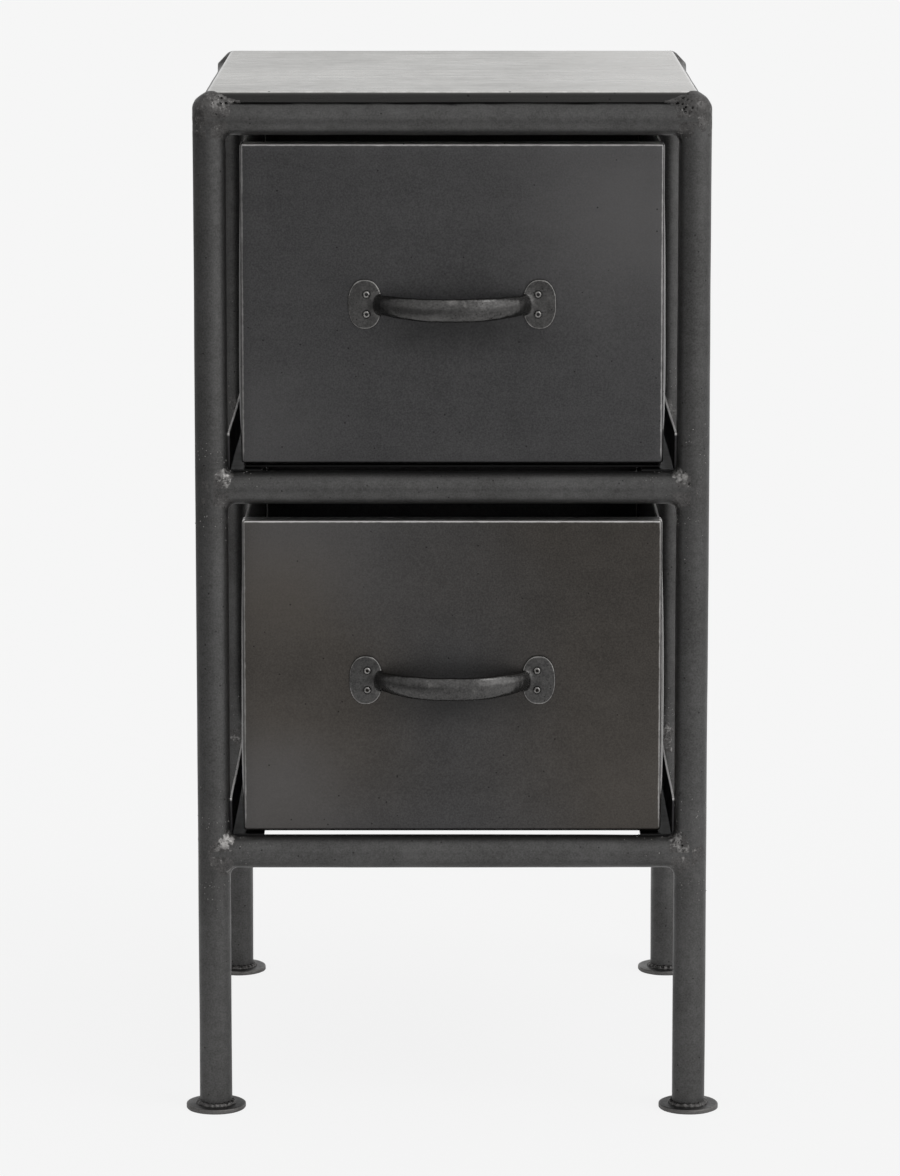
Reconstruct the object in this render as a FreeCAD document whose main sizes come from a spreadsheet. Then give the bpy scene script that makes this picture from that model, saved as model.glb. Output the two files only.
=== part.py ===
import FreeCAD, Part
import math
import os

import Sketcher
from FreeCAD import Placement, Rotation, Vector

# A small two-drawer chest: a welded frame of round steel tube on four disc
# feet, a folded sheet lid, and two folded sheet drawers that slide forward on
# angle runners. Millimetres, +Z up, front towards -Y. The origin is on the
# floor, under the middle of the whole chest, handles included.

# Driving dimensions: alias, value in mm, what it is.
DRIVING_DIMENSIONS = (
    ("leg_spacing_x", 310, "between leg axes, side to side"),
    ("leg_spacing_y", 360, "between leg axes, front to back"),
    ("tube_diameter", 21.3, "outside of every frame tube"),
    ("tube_wall", 2, "wall of every frame tube"),
    ("bottom_rail_height", 172, "axis of the bottom rails above the floor"),
    ("middle_rail_height", 412, "axis of the middle rails above the floor"),
    ("top_rail_height", 650, "axis of the top rails above the floor"),
    ("cope_trim", 3, "blunt end of a coped rail, inward of the leg's axis"),
    ("bead_radius", 5.5, "hollow of the weld in a tube corner"),
    ("bead_inset", 2.65, "side of that weld, inward of the tubes' sides"),
    ("foot_diameter", 39.5, "disc foot"),
    ("foot_thickness", 3, "disc foot"),
    ("foot_edge", 0.8, "rounded upper edge of a disc foot"),
    ("foot_bead", 2.6, "weld ring on a disc foot, height and width"),
    ("lid_height", 7, "lid, from the rails' crown to its top face"),
    ("lid_sheet", 1.2, "lid sheet"),
    ("lid_overhang", 2, "lid's outer face past the rails' axes"),
    ("lid_fold", 2.5, "outer radius of the lid's folds"),
    ("dome_gap", 0.3, "between a leg's domed end and the lid sheet"),
    ("runner_sheet", 1.2, "runner sheet"),
    ("runner_ledge", 22, "ledge that carries a drawer"),
    ("runner_flange", 25, "upright side of a runner"),
    ("runner_fold", 1, "inner radius of a runner's fold"),
    ("runner_nose", 2, "runner past the rails' axes at each end"),
    ("stop_rise", 16, "upturned tab that stops a drawer"),
    ("stop_margin", 3, "ledge left on each side of that tab"),
    ("stop_gap", 1, "between a shut drawer and its stops"),
    ("tack_height", 16, "weld between a runner and a leg"),
    ("tack_width", 3, "the same weld, out from the runner"),
    ("tack_start", 3, "the same weld, its near side from the leg's axis"),
    ("tack_end", 8.5, "the same weld, its far side from the leg's axis"),
    ("slide_gap", 0.4, "between a drawer's underside and its ledges"),
    ("drawer_sheet", 1.2, "drawer sheet"),
    ("drawer_fold", 1, "inner radius of the drawer's folds"),
    ("drawer_rear_gap", 16, "drawer's back before the rear legs' axes"),
    ("drawer_side_gap", 8.6, "between a drawer front and the leg beside it"),
    ("front_flange", 12, "turned edge round a drawer front"),
    ("front_setback", 0, "drawer face behind the front legs' axes"),
    ("front_lap", 6, "drawer face to the front end of the shell"),
    ("back_flange", 12, "turned edge round a drawer back"),
    ("lower_front_lift", 0, "lower front above the shell it laps"),
    ("lower_top_gap", 10.7, "lower front to the rail over it"),
    ("upper_front_lift", 2, "upper front above the shell it laps"),
    ("upper_top_gap", 5.1, "upper front to the rail over it"),
    ("plate_width", 22, "handle plate"),
    ("plate_height", 32.5, "handle plate"),
    ("plate_thickness", 2, "handle plate"),
    ("plate_corner", 10.6, "rounded corners of a handle plate"),
    ("plate_spacing", 112, "between the middles of a handle's plates"),
    ("grip_height", 14.4, "handle grip, upright"),
    ("grip_thickness", 8, "handle grip, front to back"),
    ("grip_root", 7, "grip where it leaves a plate, along the handle"),
    ("grip_span", 100, "over the outer sides of the grip's roots"),
    ("grip_rake", 7, "how far each root leans in by the grip"),
    ("grip_outer_bend", 22, "outer radius of the grip's bends"),
    ("grip_inner_bend", 14, "inner radius of the grip's bends"),
    ("grip_round", 3.4, "rounding of the grip's long edges"),
    ("handle_reach", 29, "grip's front before the drawer face"),
    ("lower_handle_drop", 2.5, "lower handle below the middle of its front"),
    ("upper_handle_drop", 0, "upper handle below the middle of its front"),
    ("rivet_pitch_x", 110, "between a handle's rivets, side to side"),
    ("rivet_pitch_z", 12.8, "between a handle's rivets, up and down"),
    ("rivet_shank", 3.2, "rivet shank"),
    ("rivet_fit", 0.1, "rivet hole over the rivet shank, on the diameter"),
    ("rivet_head", 5, "rivet head and clenched end, across"),
    ("rivet_head_height", 1, "rivet head"),
    ("rivet_tail_height", 0.8, "clenched end of a rivet"),
    ("rivet_bore", 1.8, "hollow of a rivet"),
)

SHEET_NAME = "sizes"
PARTS_FOLDER = "parts"
FULL_TURN = 360
SAME_PLACE = 1e-4
HUB = -1
CROSS_AXIS = {"x": -2, "y": -1}
DISTANCE_KIND = {"x": "DistanceX", "y": "DistanceY"}
START, END, CENTRE = 1, 2, 3

UPRIGHT = Rotation()
ALONG_X = Rotation(Vector(0, 1, 0), 90)
ALONG_Y = Rotation(Vector(1, 0, 0), -90)
HALF_TURN = Rotation(Vector(0, 0, 1), 180)
AXIS_X = Vector(1, 0, 0)
AXIS_Y = Vector(0, 1, 0)
AXIS_Z = Vector(0, 0, 1)

# Places that several sub-parts share, worked out from the driving dimensions.
ZERO = "0"
TUBE_RADIUS = "(sizes.tube_diameter / 2)"
BORE_RADIUS = "(sizes.tube_diameter / 2 - sizes.tube_wall)"
LEG_X = "(sizes.leg_spacing_x / 2)"
LEG_Y = "(sizes.leg_spacing_y / 2)"
# The handles stand out past the front feet, so the frame sits back by half of that.
MIDDLE_Y = "(max(0; sizes.handle_reach - sizes.front_setback - sizes.foot_diameter / 2) / 2)"
FRONT_Y = f"({MIDDLE_Y} - {LEG_Y})"
BACK_Y = f"({MIDDLE_Y} + {LEG_Y})"
FACE_Y = f"({FRONT_Y} + sizes.front_setback)"
TOP_CROWN = f"(sizes.top_rail_height + {TUBE_RADIUS})"
LID_UNDERSIDE = f"({TOP_CROWN} + sizes.lid_height - sizes.lid_sheet)"
DOME_SPRING = f"({LID_UNDERSIDE} - sizes.dome_gap - {TUBE_RADIUS})"
FLANGE_X = f"({LEG_X} - {TUBE_RADIUS})"
DRAWER_DEPTH = "(sizes.leg_spacing_y - sizes.front_setback - sizes.drawer_rear_gap)"
DRAWER_BEND = "(sizes.drawer_fold + sizes.drawer_sheet)"
FRONT_WIDTH = f"(2 * ({FLANGE_X} - sizes.drawer_side_gap))"
SHELL_WIDTH = f"({FRONT_WIDTH} - 2 * sizes.drawer_sheet)"

CORNERS = {
    "front_left": (f"-{LEG_X}", FRONT_Y),
    "front_right": (LEG_X, FRONT_Y),
    "rear_left": (f"-{LEG_X}", BACK_Y),
    "rear_right": (LEG_X, BACK_Y),
}
RAIL_HEIGHTS = {
    "top": "sizes.top_rail_height",
    "middle": "sizes.middle_rail_height",
    "bottom": "sizes.bottom_rail_height",
}

document = FreeCAD.newDocument("two_drawer_chest")
nodes = []


def make_sheet():
    """Write the driving dimensions into the document's spreadsheet."""
    table = document.addObject("Spreadsheet::Sheet", SHEET_NAME)
    for row, (alias, number, meaning) in enumerate(DRIVING_DIMENSIONS, start=1):
        table.set(f"A{row}", alias)
        table.set(f"B{row}", str(number))
        table.set(f"C{row}", meaning)
        table.setAlias(f"B{row}", alias)
    document.recompute()
    return table


sheet = make_sheet()


# ---------------------------------------------------------------- helpers

def measure(expression):
    """Return what an expression comes to with the sheet's present numbers."""
    return float(sheet.evalExpression(expression))


def at(number, expression):
    """Tell whether a coordinate lies where an expression says."""
    return abs(number - measure(expression)) < SAME_PLACE


def node(item, label):
    """Name a finished sub-part and list it for export."""
    item.Label = label
    nodes.append(item)
    return item


def bind(item, **expressions):
    """Bind an object's properties to expressions."""
    for name, expression in expressions.items():
        item.setExpression(name, expression)
    return item


def place(item, x, y, z, rotation=UPRIGHT):
    """Turn an object and bind its place to three expressions."""
    item.Placement = Placement(Vector(), rotation)
    item.setExpression("Placement.Base.x", x)
    item.setExpression("Placement.Base.y", y)
    item.setExpression("Placement.Base.z", z)
    return item


def box(name, length, width, height, x, y, z):
    """A block from its low corner."""
    item = document.addObject("Part::Box", name)
    bind(item, Length=length, Width=width, Height=height)
    return place(item, x, y, z)


def rod(name, radius, length, x, y, z, rotation=UPRIGHT):
    """A round bar from the middle of one end."""
    item = document.addObject("Part::Cylinder", name)
    bind(item, Radius=radius, Height=length)
    return place(item, x, y, z, rotation)


def cut(name, base, *tools):
    """Take each tool in turn away from base."""
    for number, tool in enumerate(tools, start=1):
        item = document.addObject("Part::Cut", f"{name}_cut_{number}")
        item.Base = base
        item.Tool = tool
        base = item
    return base


def gather(name, items):
    """Keep separate solids together as one group."""
    item = document.addObject("Part::Compound", name)
    item.Links = items
    return item


def mirror(name, source, normal, x=ZERO, y=ZERO, z=ZERO):
    """A mirror image of source in the plane through a point."""
    item = document.addObject("Part::Mirroring", name)
    item.Source = source
    item.Normal = normal
    item.setExpression("Base.x", x)
    item.setExpression("Base.y", y)
    item.setExpression("Base.z", z)
    return item


def make_sketch(body, name, plane, lift=ZERO):
    """A sketch on one of the body's own origin planes, lifted along its normal."""
    sketch = body.newObject("Sketcher::SketchObject", name)
    support = next(item for item in body.Origin.OriginFeatures if item.Role == plane)
    sketch.AttachmentSupport = [(support, "")]
    sketch.MapMode = "FlatFace"
    sketch.setExpression("AttachmentOffset.Base.z", lift)
    return sketch


def tie_point(sketch, edge, point_of_edge, place_of_point, name):
    """Hold a point of an edge at a pair of expressions from the sketch's origin."""
    for line, expression in zip("xy", place_of_point):
        if expression == ZERO:
            sketch.addConstraint(
                Sketcher.Constraint("PointOnObject", edge, point_of_edge, CROSS_AXIS[line]))
            continue
        far, near = (edge, point_of_edge), (HUB, START)
        if measure(expression) < 0:
            far, near = near, far
            expression = f"-({expression})"
        number = sketch.addConstraint(
            Sketcher.Constraint(DISTANCE_KIND[line], *near, *far, measure(expression)))
        sketch.renameConstraint(number, f"{name}_{line}")
        sketch.setExpression(f"Constraints.{name}_{line}", expression)


def draw_outline(sketch, name, corners):
    """Draw a closed outline of straight lines through pairs of expressions."""
    points = [Vector(measure(x), measure(y), 0) for x, y in corners]
    count = len(points)
    lines = [Part.LineSegment(points[i], points[(i + 1) % count]) for i in range(count)]
    edges = sketch.addGeometry(lines, False)
    for i, edge in enumerate(edges):
        following = edges[(i + 1) % count]
        sketch.addConstraint(Sketcher.Constraint("Coincident", edge, END, following, START))
    for i, edge in enumerate(edges):
        tie_point(sketch, edge, START, corners[i], f"{name}_{i}")


def draw_block(sketch, name, left, low, right, high):
    """Draw a rectangle between four expressions."""
    draw_outline(sketch, name, ((left, low), (right, low), (right, high), (left, high)))


def draw_circle(sketch, name, x, y, radius):
    """Draw a circle tied to a middle and a radius."""
    middle = Vector(measure(x), measure(y), 0)
    edge = sketch.addGeometry(Part.Circle(middle, AXIS_Z, measure(radius)), False)
    tie_point(sketch, edge, CENTRE, (x, y), name)
    number = sketch.addConstraint(Sketcher.Constraint("Radius", edge, measure(radius)))
    sketch.renameConstraint(number, f"{name}_radius")
    sketch.setExpression(f"Constraints.{name}_radius", radius)


def pad(body, name, sketch, length, reverse=False, both_ways=False):
    """Raise a sketch into a solid."""
    feature = body.newObject("PartDesign::Pad", name)
    feature.Profile = sketch
    feature.Reversed = reverse
    if both_ways:
        feature.SideType = "Symmetric"
    feature.setExpression("Length", length)
    document.recompute()
    return feature


def pocket(body, name, sketch, depth, reverse=False):
    """Sink a sketch into the solid and make sure that it takes something away."""
    before = body.Shape.Volume
    feature = body.newObject("PartDesign::Pocket", name)
    feature.Profile = sketch
    feature.Reversed = reverse
    feature.setExpression("Length", depth)
    document.recompute()
    if feature.Shape.Volume >= before:
        raise RuntimeError(f"{body.Name}: {name} takes nothing away")
    return feature


def fillet(body, name, base, elements, radius):
    """Round the named edges, or all edges of the named faces, of base."""
    if not elements:
        raise RuntimeError(f"{body.Name}: {name} finds nothing to round")
    feature = body.newObject("PartDesign::Fillet", name)
    feature.Base = (base, elements)
    feature.setExpression("Radius", radius)
    document.recompute()
    return feature


def straight_edges(feature, direction, where):
    """Name the straight edges along a direction whose middle passes where."""
    chosen = []
    for number, edge in enumerate(feature.Shape.Edges, start=1):
        if edge.Degenerated or edge.Curve.TypeId != "Part::GeomLine":
            continue
        first, last = (vertex.Point for vertex in edge.Vertexes)
        along = (last - first).normalize().dot(direction)
        if abs(abs(along) - 1) < SAME_PLACE and where((first + last) * 0.5):
            chosen.append(f"Edge{number}")
    return chosen


# ---------------------------------------------------------------- frame

def make_foot(corner, x, y):
    """A disc with a rounded upper edge, standing on the floor."""
    label = f"{corner}_foot"
    body = document.addObject("PartDesign::Body", label)
    outline = make_sketch(body, f"{label}_outline", "XY_Plane")
    draw_circle(outline, "rim", ZERO, ZERO, "sizes.foot_diameter / 2")
    disc = pad(body, f"{label}_disc", outline, "sizes.foot_thickness")
    upper = [
        f"Edge{number}"
        for number, edge in enumerate(disc.Shape.Edges, start=1)
        if edge.Curve.TypeId == "Part::GeomCircle" and at(edge.Curve.Center.z, "sizes.foot_thickness")
    ]
    fillet(body, f"{label}_edge", disc, upper, "sizes.foot_edge")
    place(body, x, y, ZERO)
    return node(body, label)


def make_leg(corner, x, y):
    """A tube that stands on its foot and ends above in a closed dome."""
    label = f"{corner}_leg"
    body = document.addObject("PartDesign::Body", label)
    section = make_sketch(body, f"{label}_section", "XZ_Plane")
    low = measure("sizes.foot_thickness")
    spring = measure(DOME_SPRING)
    radius = measure(TUBE_RADIUS)
    bore = measure(BORE_RADIUS)
    hub = Vector(0, spring, 0)
    end, wall, dome, middle, plug, inside = section.addGeometry([
        Part.LineSegment(Vector(bore, low, 0), Vector(radius, low, 0)),
        Part.LineSegment(Vector(radius, low, 0), Vector(radius, spring, 0)),
        Part.ArcOfCircle(Part.Circle(hub, AXIS_Z, radius), 0, math.pi / 2),
        Part.LineSegment(Vector(0, spring + radius, 0), hub),
        Part.LineSegment(hub, Vector(bore, spring, 0)),
        Part.LineSegment(Vector(bore, spring, 0), Vector(bore, low, 0)),
    ], False)
    run = (end, wall, dome, middle, plug, inside)
    for edge, following in zip(run, run[1:] + run[:1]):
        section.addConstraint(Sketcher.Constraint("Coincident", edge, END, following, START))
    section.addConstraint(Sketcher.Constraint("Coincident", dome, CENTRE, plug, START))
    section.addConstraint(Sketcher.Constraint("PointOnObject", middle, START, CROSS_AXIS["x"]))
    tie_point(section, end, START, (BORE_RADIUS, "sizes.foot_thickness"), "inner_end")
    tie_point(section, wall, START, (TUBE_RADIUS, "sizes.foot_thickness"), "outer_end")
    tie_point(section, wall, END, (TUBE_RADIUS, DOME_SPRING), "dome_start")
    tie_point(section, plug, START, (ZERO, DOME_SPRING), "dome_hub")
    tie_point(section, inside, START, (BORE_RADIUS, DOME_SPRING), "bore_end")
    turned = body.newObject("PartDesign::Revolution", f"{label}_turned")
    turned.Profile = section
    turned.ReferenceAxis = (section, ["V_Axis"])
    turned.Angle = FULL_TURN
    place(body, x, y, ZERO)
    return node(body, label)


def make_tube(label, length, x, y, z, rotation):
    """A straight open tube from the middle of one end."""
    outside = rod(f"{label}_outside", TUBE_RADIUS, length, x, y, z, rotation)
    bore = rod(f"{label}_bore", BORE_RADIUS, length, x, y, z, rotation)
    return cut(f"{label}_tube", outside, bore)


def make_frame():
    """Feet, legs, coped rails and the weld in every corner between them."""
    for corner, (x, y) in CORNERS.items():
        make_foot(corner, x, y)
        make_leg(corner, x, y)

    # Solid bars in the tubes' places shape what meets the tubes.
    bar_height = f"{LID_UNDERSIDE} - sizes.foot_thickness"
    leg_bars = gather("leg_bars", [
        rod(f"{corner}_leg_bar", TUBE_RADIUS, bar_height, x, y, "sizes.foot_thickness")
        for corner, (x, y) in CORNERS.items()
    ])
    rail_bars = gather("rail_bars", [
        rod(f"{end}_{level}_bar", TUBE_RADIUS, "sizes.leg_spacing_x", f"-{LEG_X}", y, height, ALONG_X)
        for end, y in (("front", FRONT_Y), ("rear", BACK_Y))
        for level, height in RAIL_HEIGHTS.items()
    ])
    side_bar = rod("left_side_bar", TUBE_RADIUS, "sizes.leg_spacing_y",
                   f"-{LEG_X}", FRONT_Y, RAIL_HEIGHTS["top"], ALONG_Y)

    cross_length = "sizes.leg_spacing_x - 2 * sizes.cope_trim"
    for end, y in (("front", FRONT_Y), ("rear", BACK_Y)):
        for level, height in RAIL_HEIGHTS.items():
            label = f"{end}_{level}_rail"
            tube = make_tube(label, cross_length, f"sizes.cope_trim - {LEG_X}", y, height, ALONG_X)
            node(cut(label, tube, leg_bars), label)

    side_length = "sizes.leg_spacing_y - 2 * sizes.cope_trim"
    side_start = f"{FRONT_Y} + sizes.cope_trim"
    side_tube = make_tube("left_top_rail", side_length, f"-{LEG_X}", side_start, RAIL_HEIGHTS["top"], ALONG_Y)
    left_side = node(cut("left_top_rail", side_tube, leg_bars, rail_bars), "left_top_rail")
    node(mirror("right_side_image", left_side, AXIS_X), "right_top_rail")

    make_corner_beads(leg_bars, rail_bars, side_bar)
    make_foot_beads(leg_bars)
    return leg_bars


def make_corner_beads(leg_bars, rail_bars, side_bar):
    """Hollow-faced welds above and below the rails, in their corners with the legs."""
    reach = f"({TUBE_RADIUS} + sizes.bead_radius)"
    half_width = f"({TUBE_RADIUS} - sizes.bead_inset)"
    full_width = f"(2 * {half_width})"
    blocks = []
    hollows = []
    corners = (("top", "under"), ("middle", "over"), ("middle", "under"), ("bottom", "over"), ("bottom", "under"))
    for level, side in corners:
        height = RAIL_HEIGHTS[level]
        low = height if side == "over" else f"{height} - {reach}"
        hub = f"{height} + {reach}" if side == "over" else f"{height} - {reach}"
        # Over a rail the weld ends at the nose of the runner that lies there.
        width = f"{half_width} - sizes.runner_nose" if side == "over" else full_width
        blocks.append(box(f"{level}_{side}_block", reach, width, reach,
                          f"-{LEG_X}", f"{FRONT_Y} - {half_width}", low))
        hollows.append(rod(f"{level}_{side}_hollow", "sizes.bead_radius", full_width,
                           f"{reach} - {LEG_X}", f"{FRONT_Y} - {half_width}", hub, ALONG_Y))
    left = cut("left_beads", gather("bead_blocks", blocks), leg_bars, rail_bars, side_bar,
               gather("bead_hollows", hollows))
    right = mirror("right_beads", left, AXIS_X)
    front = node(gather("front_beads", [left, right]), "front_weld_beads")
    node(mirror("rear_beads", front, AXIS_Y, y=MIDDLE_Y), "rear_weld_beads")

    height = f"{RAIL_HEIGHTS['top']} - {reach}"
    block = box("side_block", full_width, reach, reach, f"-{LEG_X} - {half_width}", FRONT_Y, height)
    hollow = rod("side_hollow", "sizes.bead_radius", full_width,
                 f"-{LEG_X} - {half_width}", f"{FRONT_Y} + {reach}", height, ALONG_X)
    bead = cut("side_bead", block, leg_bars, side_bar, hollow, left, rail_bars)
    pair = gather("side_bead_pair", [bead, mirror("side_bead_behind", bead, AXIS_Y, y=MIDDLE_Y)])
    node(gather("side_beads", [pair, mirror("side_beads_right", pair, AXIS_X)]), "side_weld_beads")


def make_foot_beads(leg_bars):
    """Weld rings round the legs, on the feet."""
    rings = []
    for corner, (x, y) in CORNERS.items():
        ring = document.addObject("Part::Cone", f"{corner}_ring")
        bind(ring, Radius1=f"{TUBE_RADIUS} + sizes.foot_bead",
             Radius2=f"{TUBE_RADIUS} + sizes.foot_bead / 4", Height="sizes.foot_bead")
        rings.append(place(ring, x, y, "sizes.foot_thickness"))
    node(cut("foot_beads", gather("foot_rings", rings), leg_bars), "foot_weld_beads")


def make_lid():
    """A shallow folded tray, upside down on the top rails, fitted over the legs' domes."""
    half_x = f"({LEG_X} + sizes.lid_overhang)"
    half_y = f"({LEG_Y} + sizes.lid_overhang)"
    body = document.addObject("PartDesign::Body", "lid_blank")
    outline = make_sketch(body, "lid_outline", "XY_Plane")
    draw_block(outline, "edge", f"-{half_x}", f"-{half_y}", half_x, half_y)
    slab = pad(body, "lid_slab", outline, "sizes.lid_height")
    folds = straight_edges(slab, AXIS_Z, lambda middle: True)
    folds += straight_edges(slab, AXIS_X, lambda middle: at(middle.z, "sizes.lid_height"))
    folds += straight_edges(slab, AXIS_Y, lambda middle: at(middle.z, "sizes.lid_height"))
    fillet(body, "lid_folds", slab, folds, "sizes.lid_fold")

    inner_x = f"({half_x} - sizes.lid_sheet)"
    inner_y = f"({half_y} - sizes.lid_sheet)"
    inside = make_sketch(body, "lid_inside", "XY_Plane")
    draw_block(inside, "inner", f"-{inner_x}", f"-{inner_y}", inner_x, inner_y)
    depth = "(sizes.lid_height - sizes.lid_sheet)"
    hollow = pocket(body, "lid_hollow", inside, depth, reverse=True)

    def on_inner_wall(middle):
        return at(abs(middle.x), inner_x) or at(abs(middle.y), inner_y)

    bends = straight_edges(hollow, AXIS_X, lambda middle: at(middle.z, depth) and on_inner_wall(middle))
    bends += straight_edges(hollow, AXIS_Y, lambda middle: at(middle.z, depth) and on_inner_wall(middle))
    fillet(body, "lid_bends", hollow, bends, "sizes.lid_fold - sizes.lid_sheet")
    place(body, ZERO, MIDDLE_Y, TOP_CROWN)

    domes = []
    for corner, (x, y) in CORNERS.items():
        ball = document.addObject("Part::Sphere", f"{corner}_dome")
        bind(ball, Radius=TUBE_RADIUS)
        domes.append(place(ball, x, y, DOME_SPRING))
    return node(cut("lid", body, gather("leg_domes", domes)), "top_plate")


def make_runners(leg_bars):
    """Angle runners with a ledge, an upright flange and a lanced stop tab, welded to the legs."""
    tack_blocks = []
    start_y = f"({FRONT_Y} - sizes.runner_nose)"
    length = "(sizes.leg_spacing_y + 2 * sizes.runner_nose)"
    stop_y = f"({FACE_Y} + {DRAWER_DEPTH} + sizes.stop_gap - {start_y})"
    inner = "(sizes.runner_ledge - sizes.runner_sheet)"
    for drawer, level in (("upper", "middle"), ("lower", "bottom")):
        label = f"{drawer}_right_runner"
        base_z = f"({RAIL_HEIGHTS[level]} + {TUBE_RADIUS})"
        body = document.addObject("PartDesign::Body", label)
        section = make_sketch(body, f"{drawer}_runner_section", "XZ_Plane")
        draw_outline(section, "angle", (
            (ZERO, ZERO),
            ("sizes.runner_ledge", ZERO),
            ("sizes.runner_ledge", "sizes.runner_flange"),
            (inner, "sizes.runner_flange"),
            (inner, "sizes.runner_sheet"),
            (ZERO, "sizes.runner_sheet"),
        ))
        angle = pad(body, f"{drawer}_runner_angle", section, length, reverse=True)
        outer_fold = straight_edges(
            angle, AXIS_Y, lambda middle: at(middle.x, "sizes.runner_ledge") and at(middle.z, ZERO))
        folded = fillet(body, f"{drawer}_runner_outer", angle, outer_fold, "sizes.runner_fold + sizes.runner_sheet")
        inner_fold = straight_edges(
            folded, AXIS_Y, lambda middle: at(middle.x, inner) and at(middle.z, "sizes.runner_sheet"))
        fillet(body, f"{drawer}_runner_inner", folded, inner_fold, "sizes.runner_fold")
        tab = make_sketch(body, f"{drawer}_stop_outline", "XZ_Plane", lift=f"-{stop_y}")
        draw_block(tab, "tab", "sizes.stop_margin", ZERO, f"{inner} - sizes.stop_margin",
                   "sizes.runner_sheet + sizes.stop_rise")
        pad(body, f"{drawer}_stop_tab", tab, "sizes.runner_sheet", reverse=True)
        place(body, f"{FLANGE_X} - sizes.runner_ledge", start_y, base_z)
        right = node(body, label)
        node(mirror(f"{drawer}_left_image", right, AXIS_X), f"{drawer}_left_runner")

        run = "sizes.tack_end - sizes.tack_start"
        low = f"{base_z} + (sizes.runner_flange - sizes.tack_height) / 2"
        for end, near in (("front", f"{FRONT_Y} + sizes.tack_start"), ("rear", f"{BACK_Y} - sizes.tack_end")):
            tack_blocks.append(box(f"{drawer}_{end}_tack", "sizes.tack_width", run, "sizes.tack_height",
                                   FLANGE_X, near, low))
    tacks = cut("right_tacks", gather("tack_blocks", tack_blocks), leg_bars)
    node(gather("tacks", [tacks, mirror("left_tacks", tacks, AXIS_X)]), "runner_weld_beads")


# ---------------------------------------------------------------- drawers

def make_pan(label, width, height, flange):
    """A panel with its four edges turned back, from the middle of its lower edge."""
    half = f"({width} / 2)"
    body = document.addObject("PartDesign::Body", f"{label}_pan")
    outline = make_sketch(body, f"{label}_outline", "XZ_Plane")
    draw_block(outline, "edge", f"-{half}", ZERO, half, height)
    slab = pad(body, f"{label}_slab", outline, flange, reverse=True)
    folds = straight_edges(slab, AXIS_Y, lambda middle: True)
    folds += straight_edges(slab, AXIS_X, lambda middle: at(middle.y, ZERO))
    folds += straight_edges(slab, AXIS_Z, lambda middle: at(middle.y, ZERO))
    fillet(body, f"{label}_folds", slab, folds, DRAWER_BEND)

    inner = f"({half} - sizes.drawer_sheet)"
    inside = make_sketch(body, f"{label}_inside", "XZ_Plane", lift=f"-({flange})")
    draw_block(inside, "inner", f"-{inner}", "sizes.drawer_sheet", inner, f"{height} - sizes.drawer_sheet")
    hollow = pocket(body, f"{label}_hollow", inside, f"{flange} - sizes.drawer_sheet", reverse=True)
    bends = straight_edges(
        hollow, AXIS_Y,
        lambda middle: at(abs(middle.x), inner) and middle.y > measure("sizes.drawer_sheet"))
    bends += straight_edges(
        hollow, AXIS_X, lambda middle: at(middle.y, "sizes.drawer_sheet"))
    bends += straight_edges(
        hollow, AXIS_Z, lambda middle: at(middle.y, "sizes.drawer_sheet"))
    fillet(body, f"{label}_bends", hollow, bends, "sizes.drawer_fold")
    return body


def draw_rivet_holes(sketch, middle_z):
    """Draw a handle's four rivet holes about a height."""
    for side, sign_x in (("left", "-"), ("right", "")):
        for row, sign_z in (("low", "-"), ("high", "+")):
            draw_circle(sketch, f"{side}_{row}", f"{sign_x}sizes.rivet_pitch_x / 2",
                        f"{middle_z} {sign_z} sizes.rivet_pitch_z / 2",
                        "(sizes.rivet_shank + sizes.rivet_fit) / 2")


def make_shell(label, height, x, y, z):
    """The drawer's floor and both walls, one sheet folded twice."""
    half = f"({SHELL_WIDTH} / 2)"
    inner = f"({half} - sizes.drawer_sheet)"
    body = document.addObject("PartDesign::Body", label)
    section = make_sketch(body, f"{label}_section", "XZ_Plane")
    draw_outline(section, "fold", (
        (f"-{half}", ZERO), (half, ZERO), (half, height), (inner, height),
        (inner, "sizes.drawer_sheet"), (f"-{inner}", "sizes.drawer_sheet"),
        (f"-{inner}", height), (f"-{half}", height),
    ))
    trough = pad(body, f"{label}_trough", section, f"{DRAWER_DEPTH} - sizes.front_lap", reverse=True)
    outer = straight_edges(trough, AXIS_Y, lambda middle: at(abs(middle.x), half) and at(middle.z, ZERO))
    folded = fillet(body, f"{label}_outer", trough, outer, DRAWER_BEND)
    bends = straight_edges(
        folded, AXIS_Y, lambda middle: at(abs(middle.x), inner) and at(middle.z, "sizes.drawer_sheet"))
    fillet(body, f"{label}_inner", folded, bends, "sizes.drawer_fold")
    place(body, x, y, z)
    return node(body, label)


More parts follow.
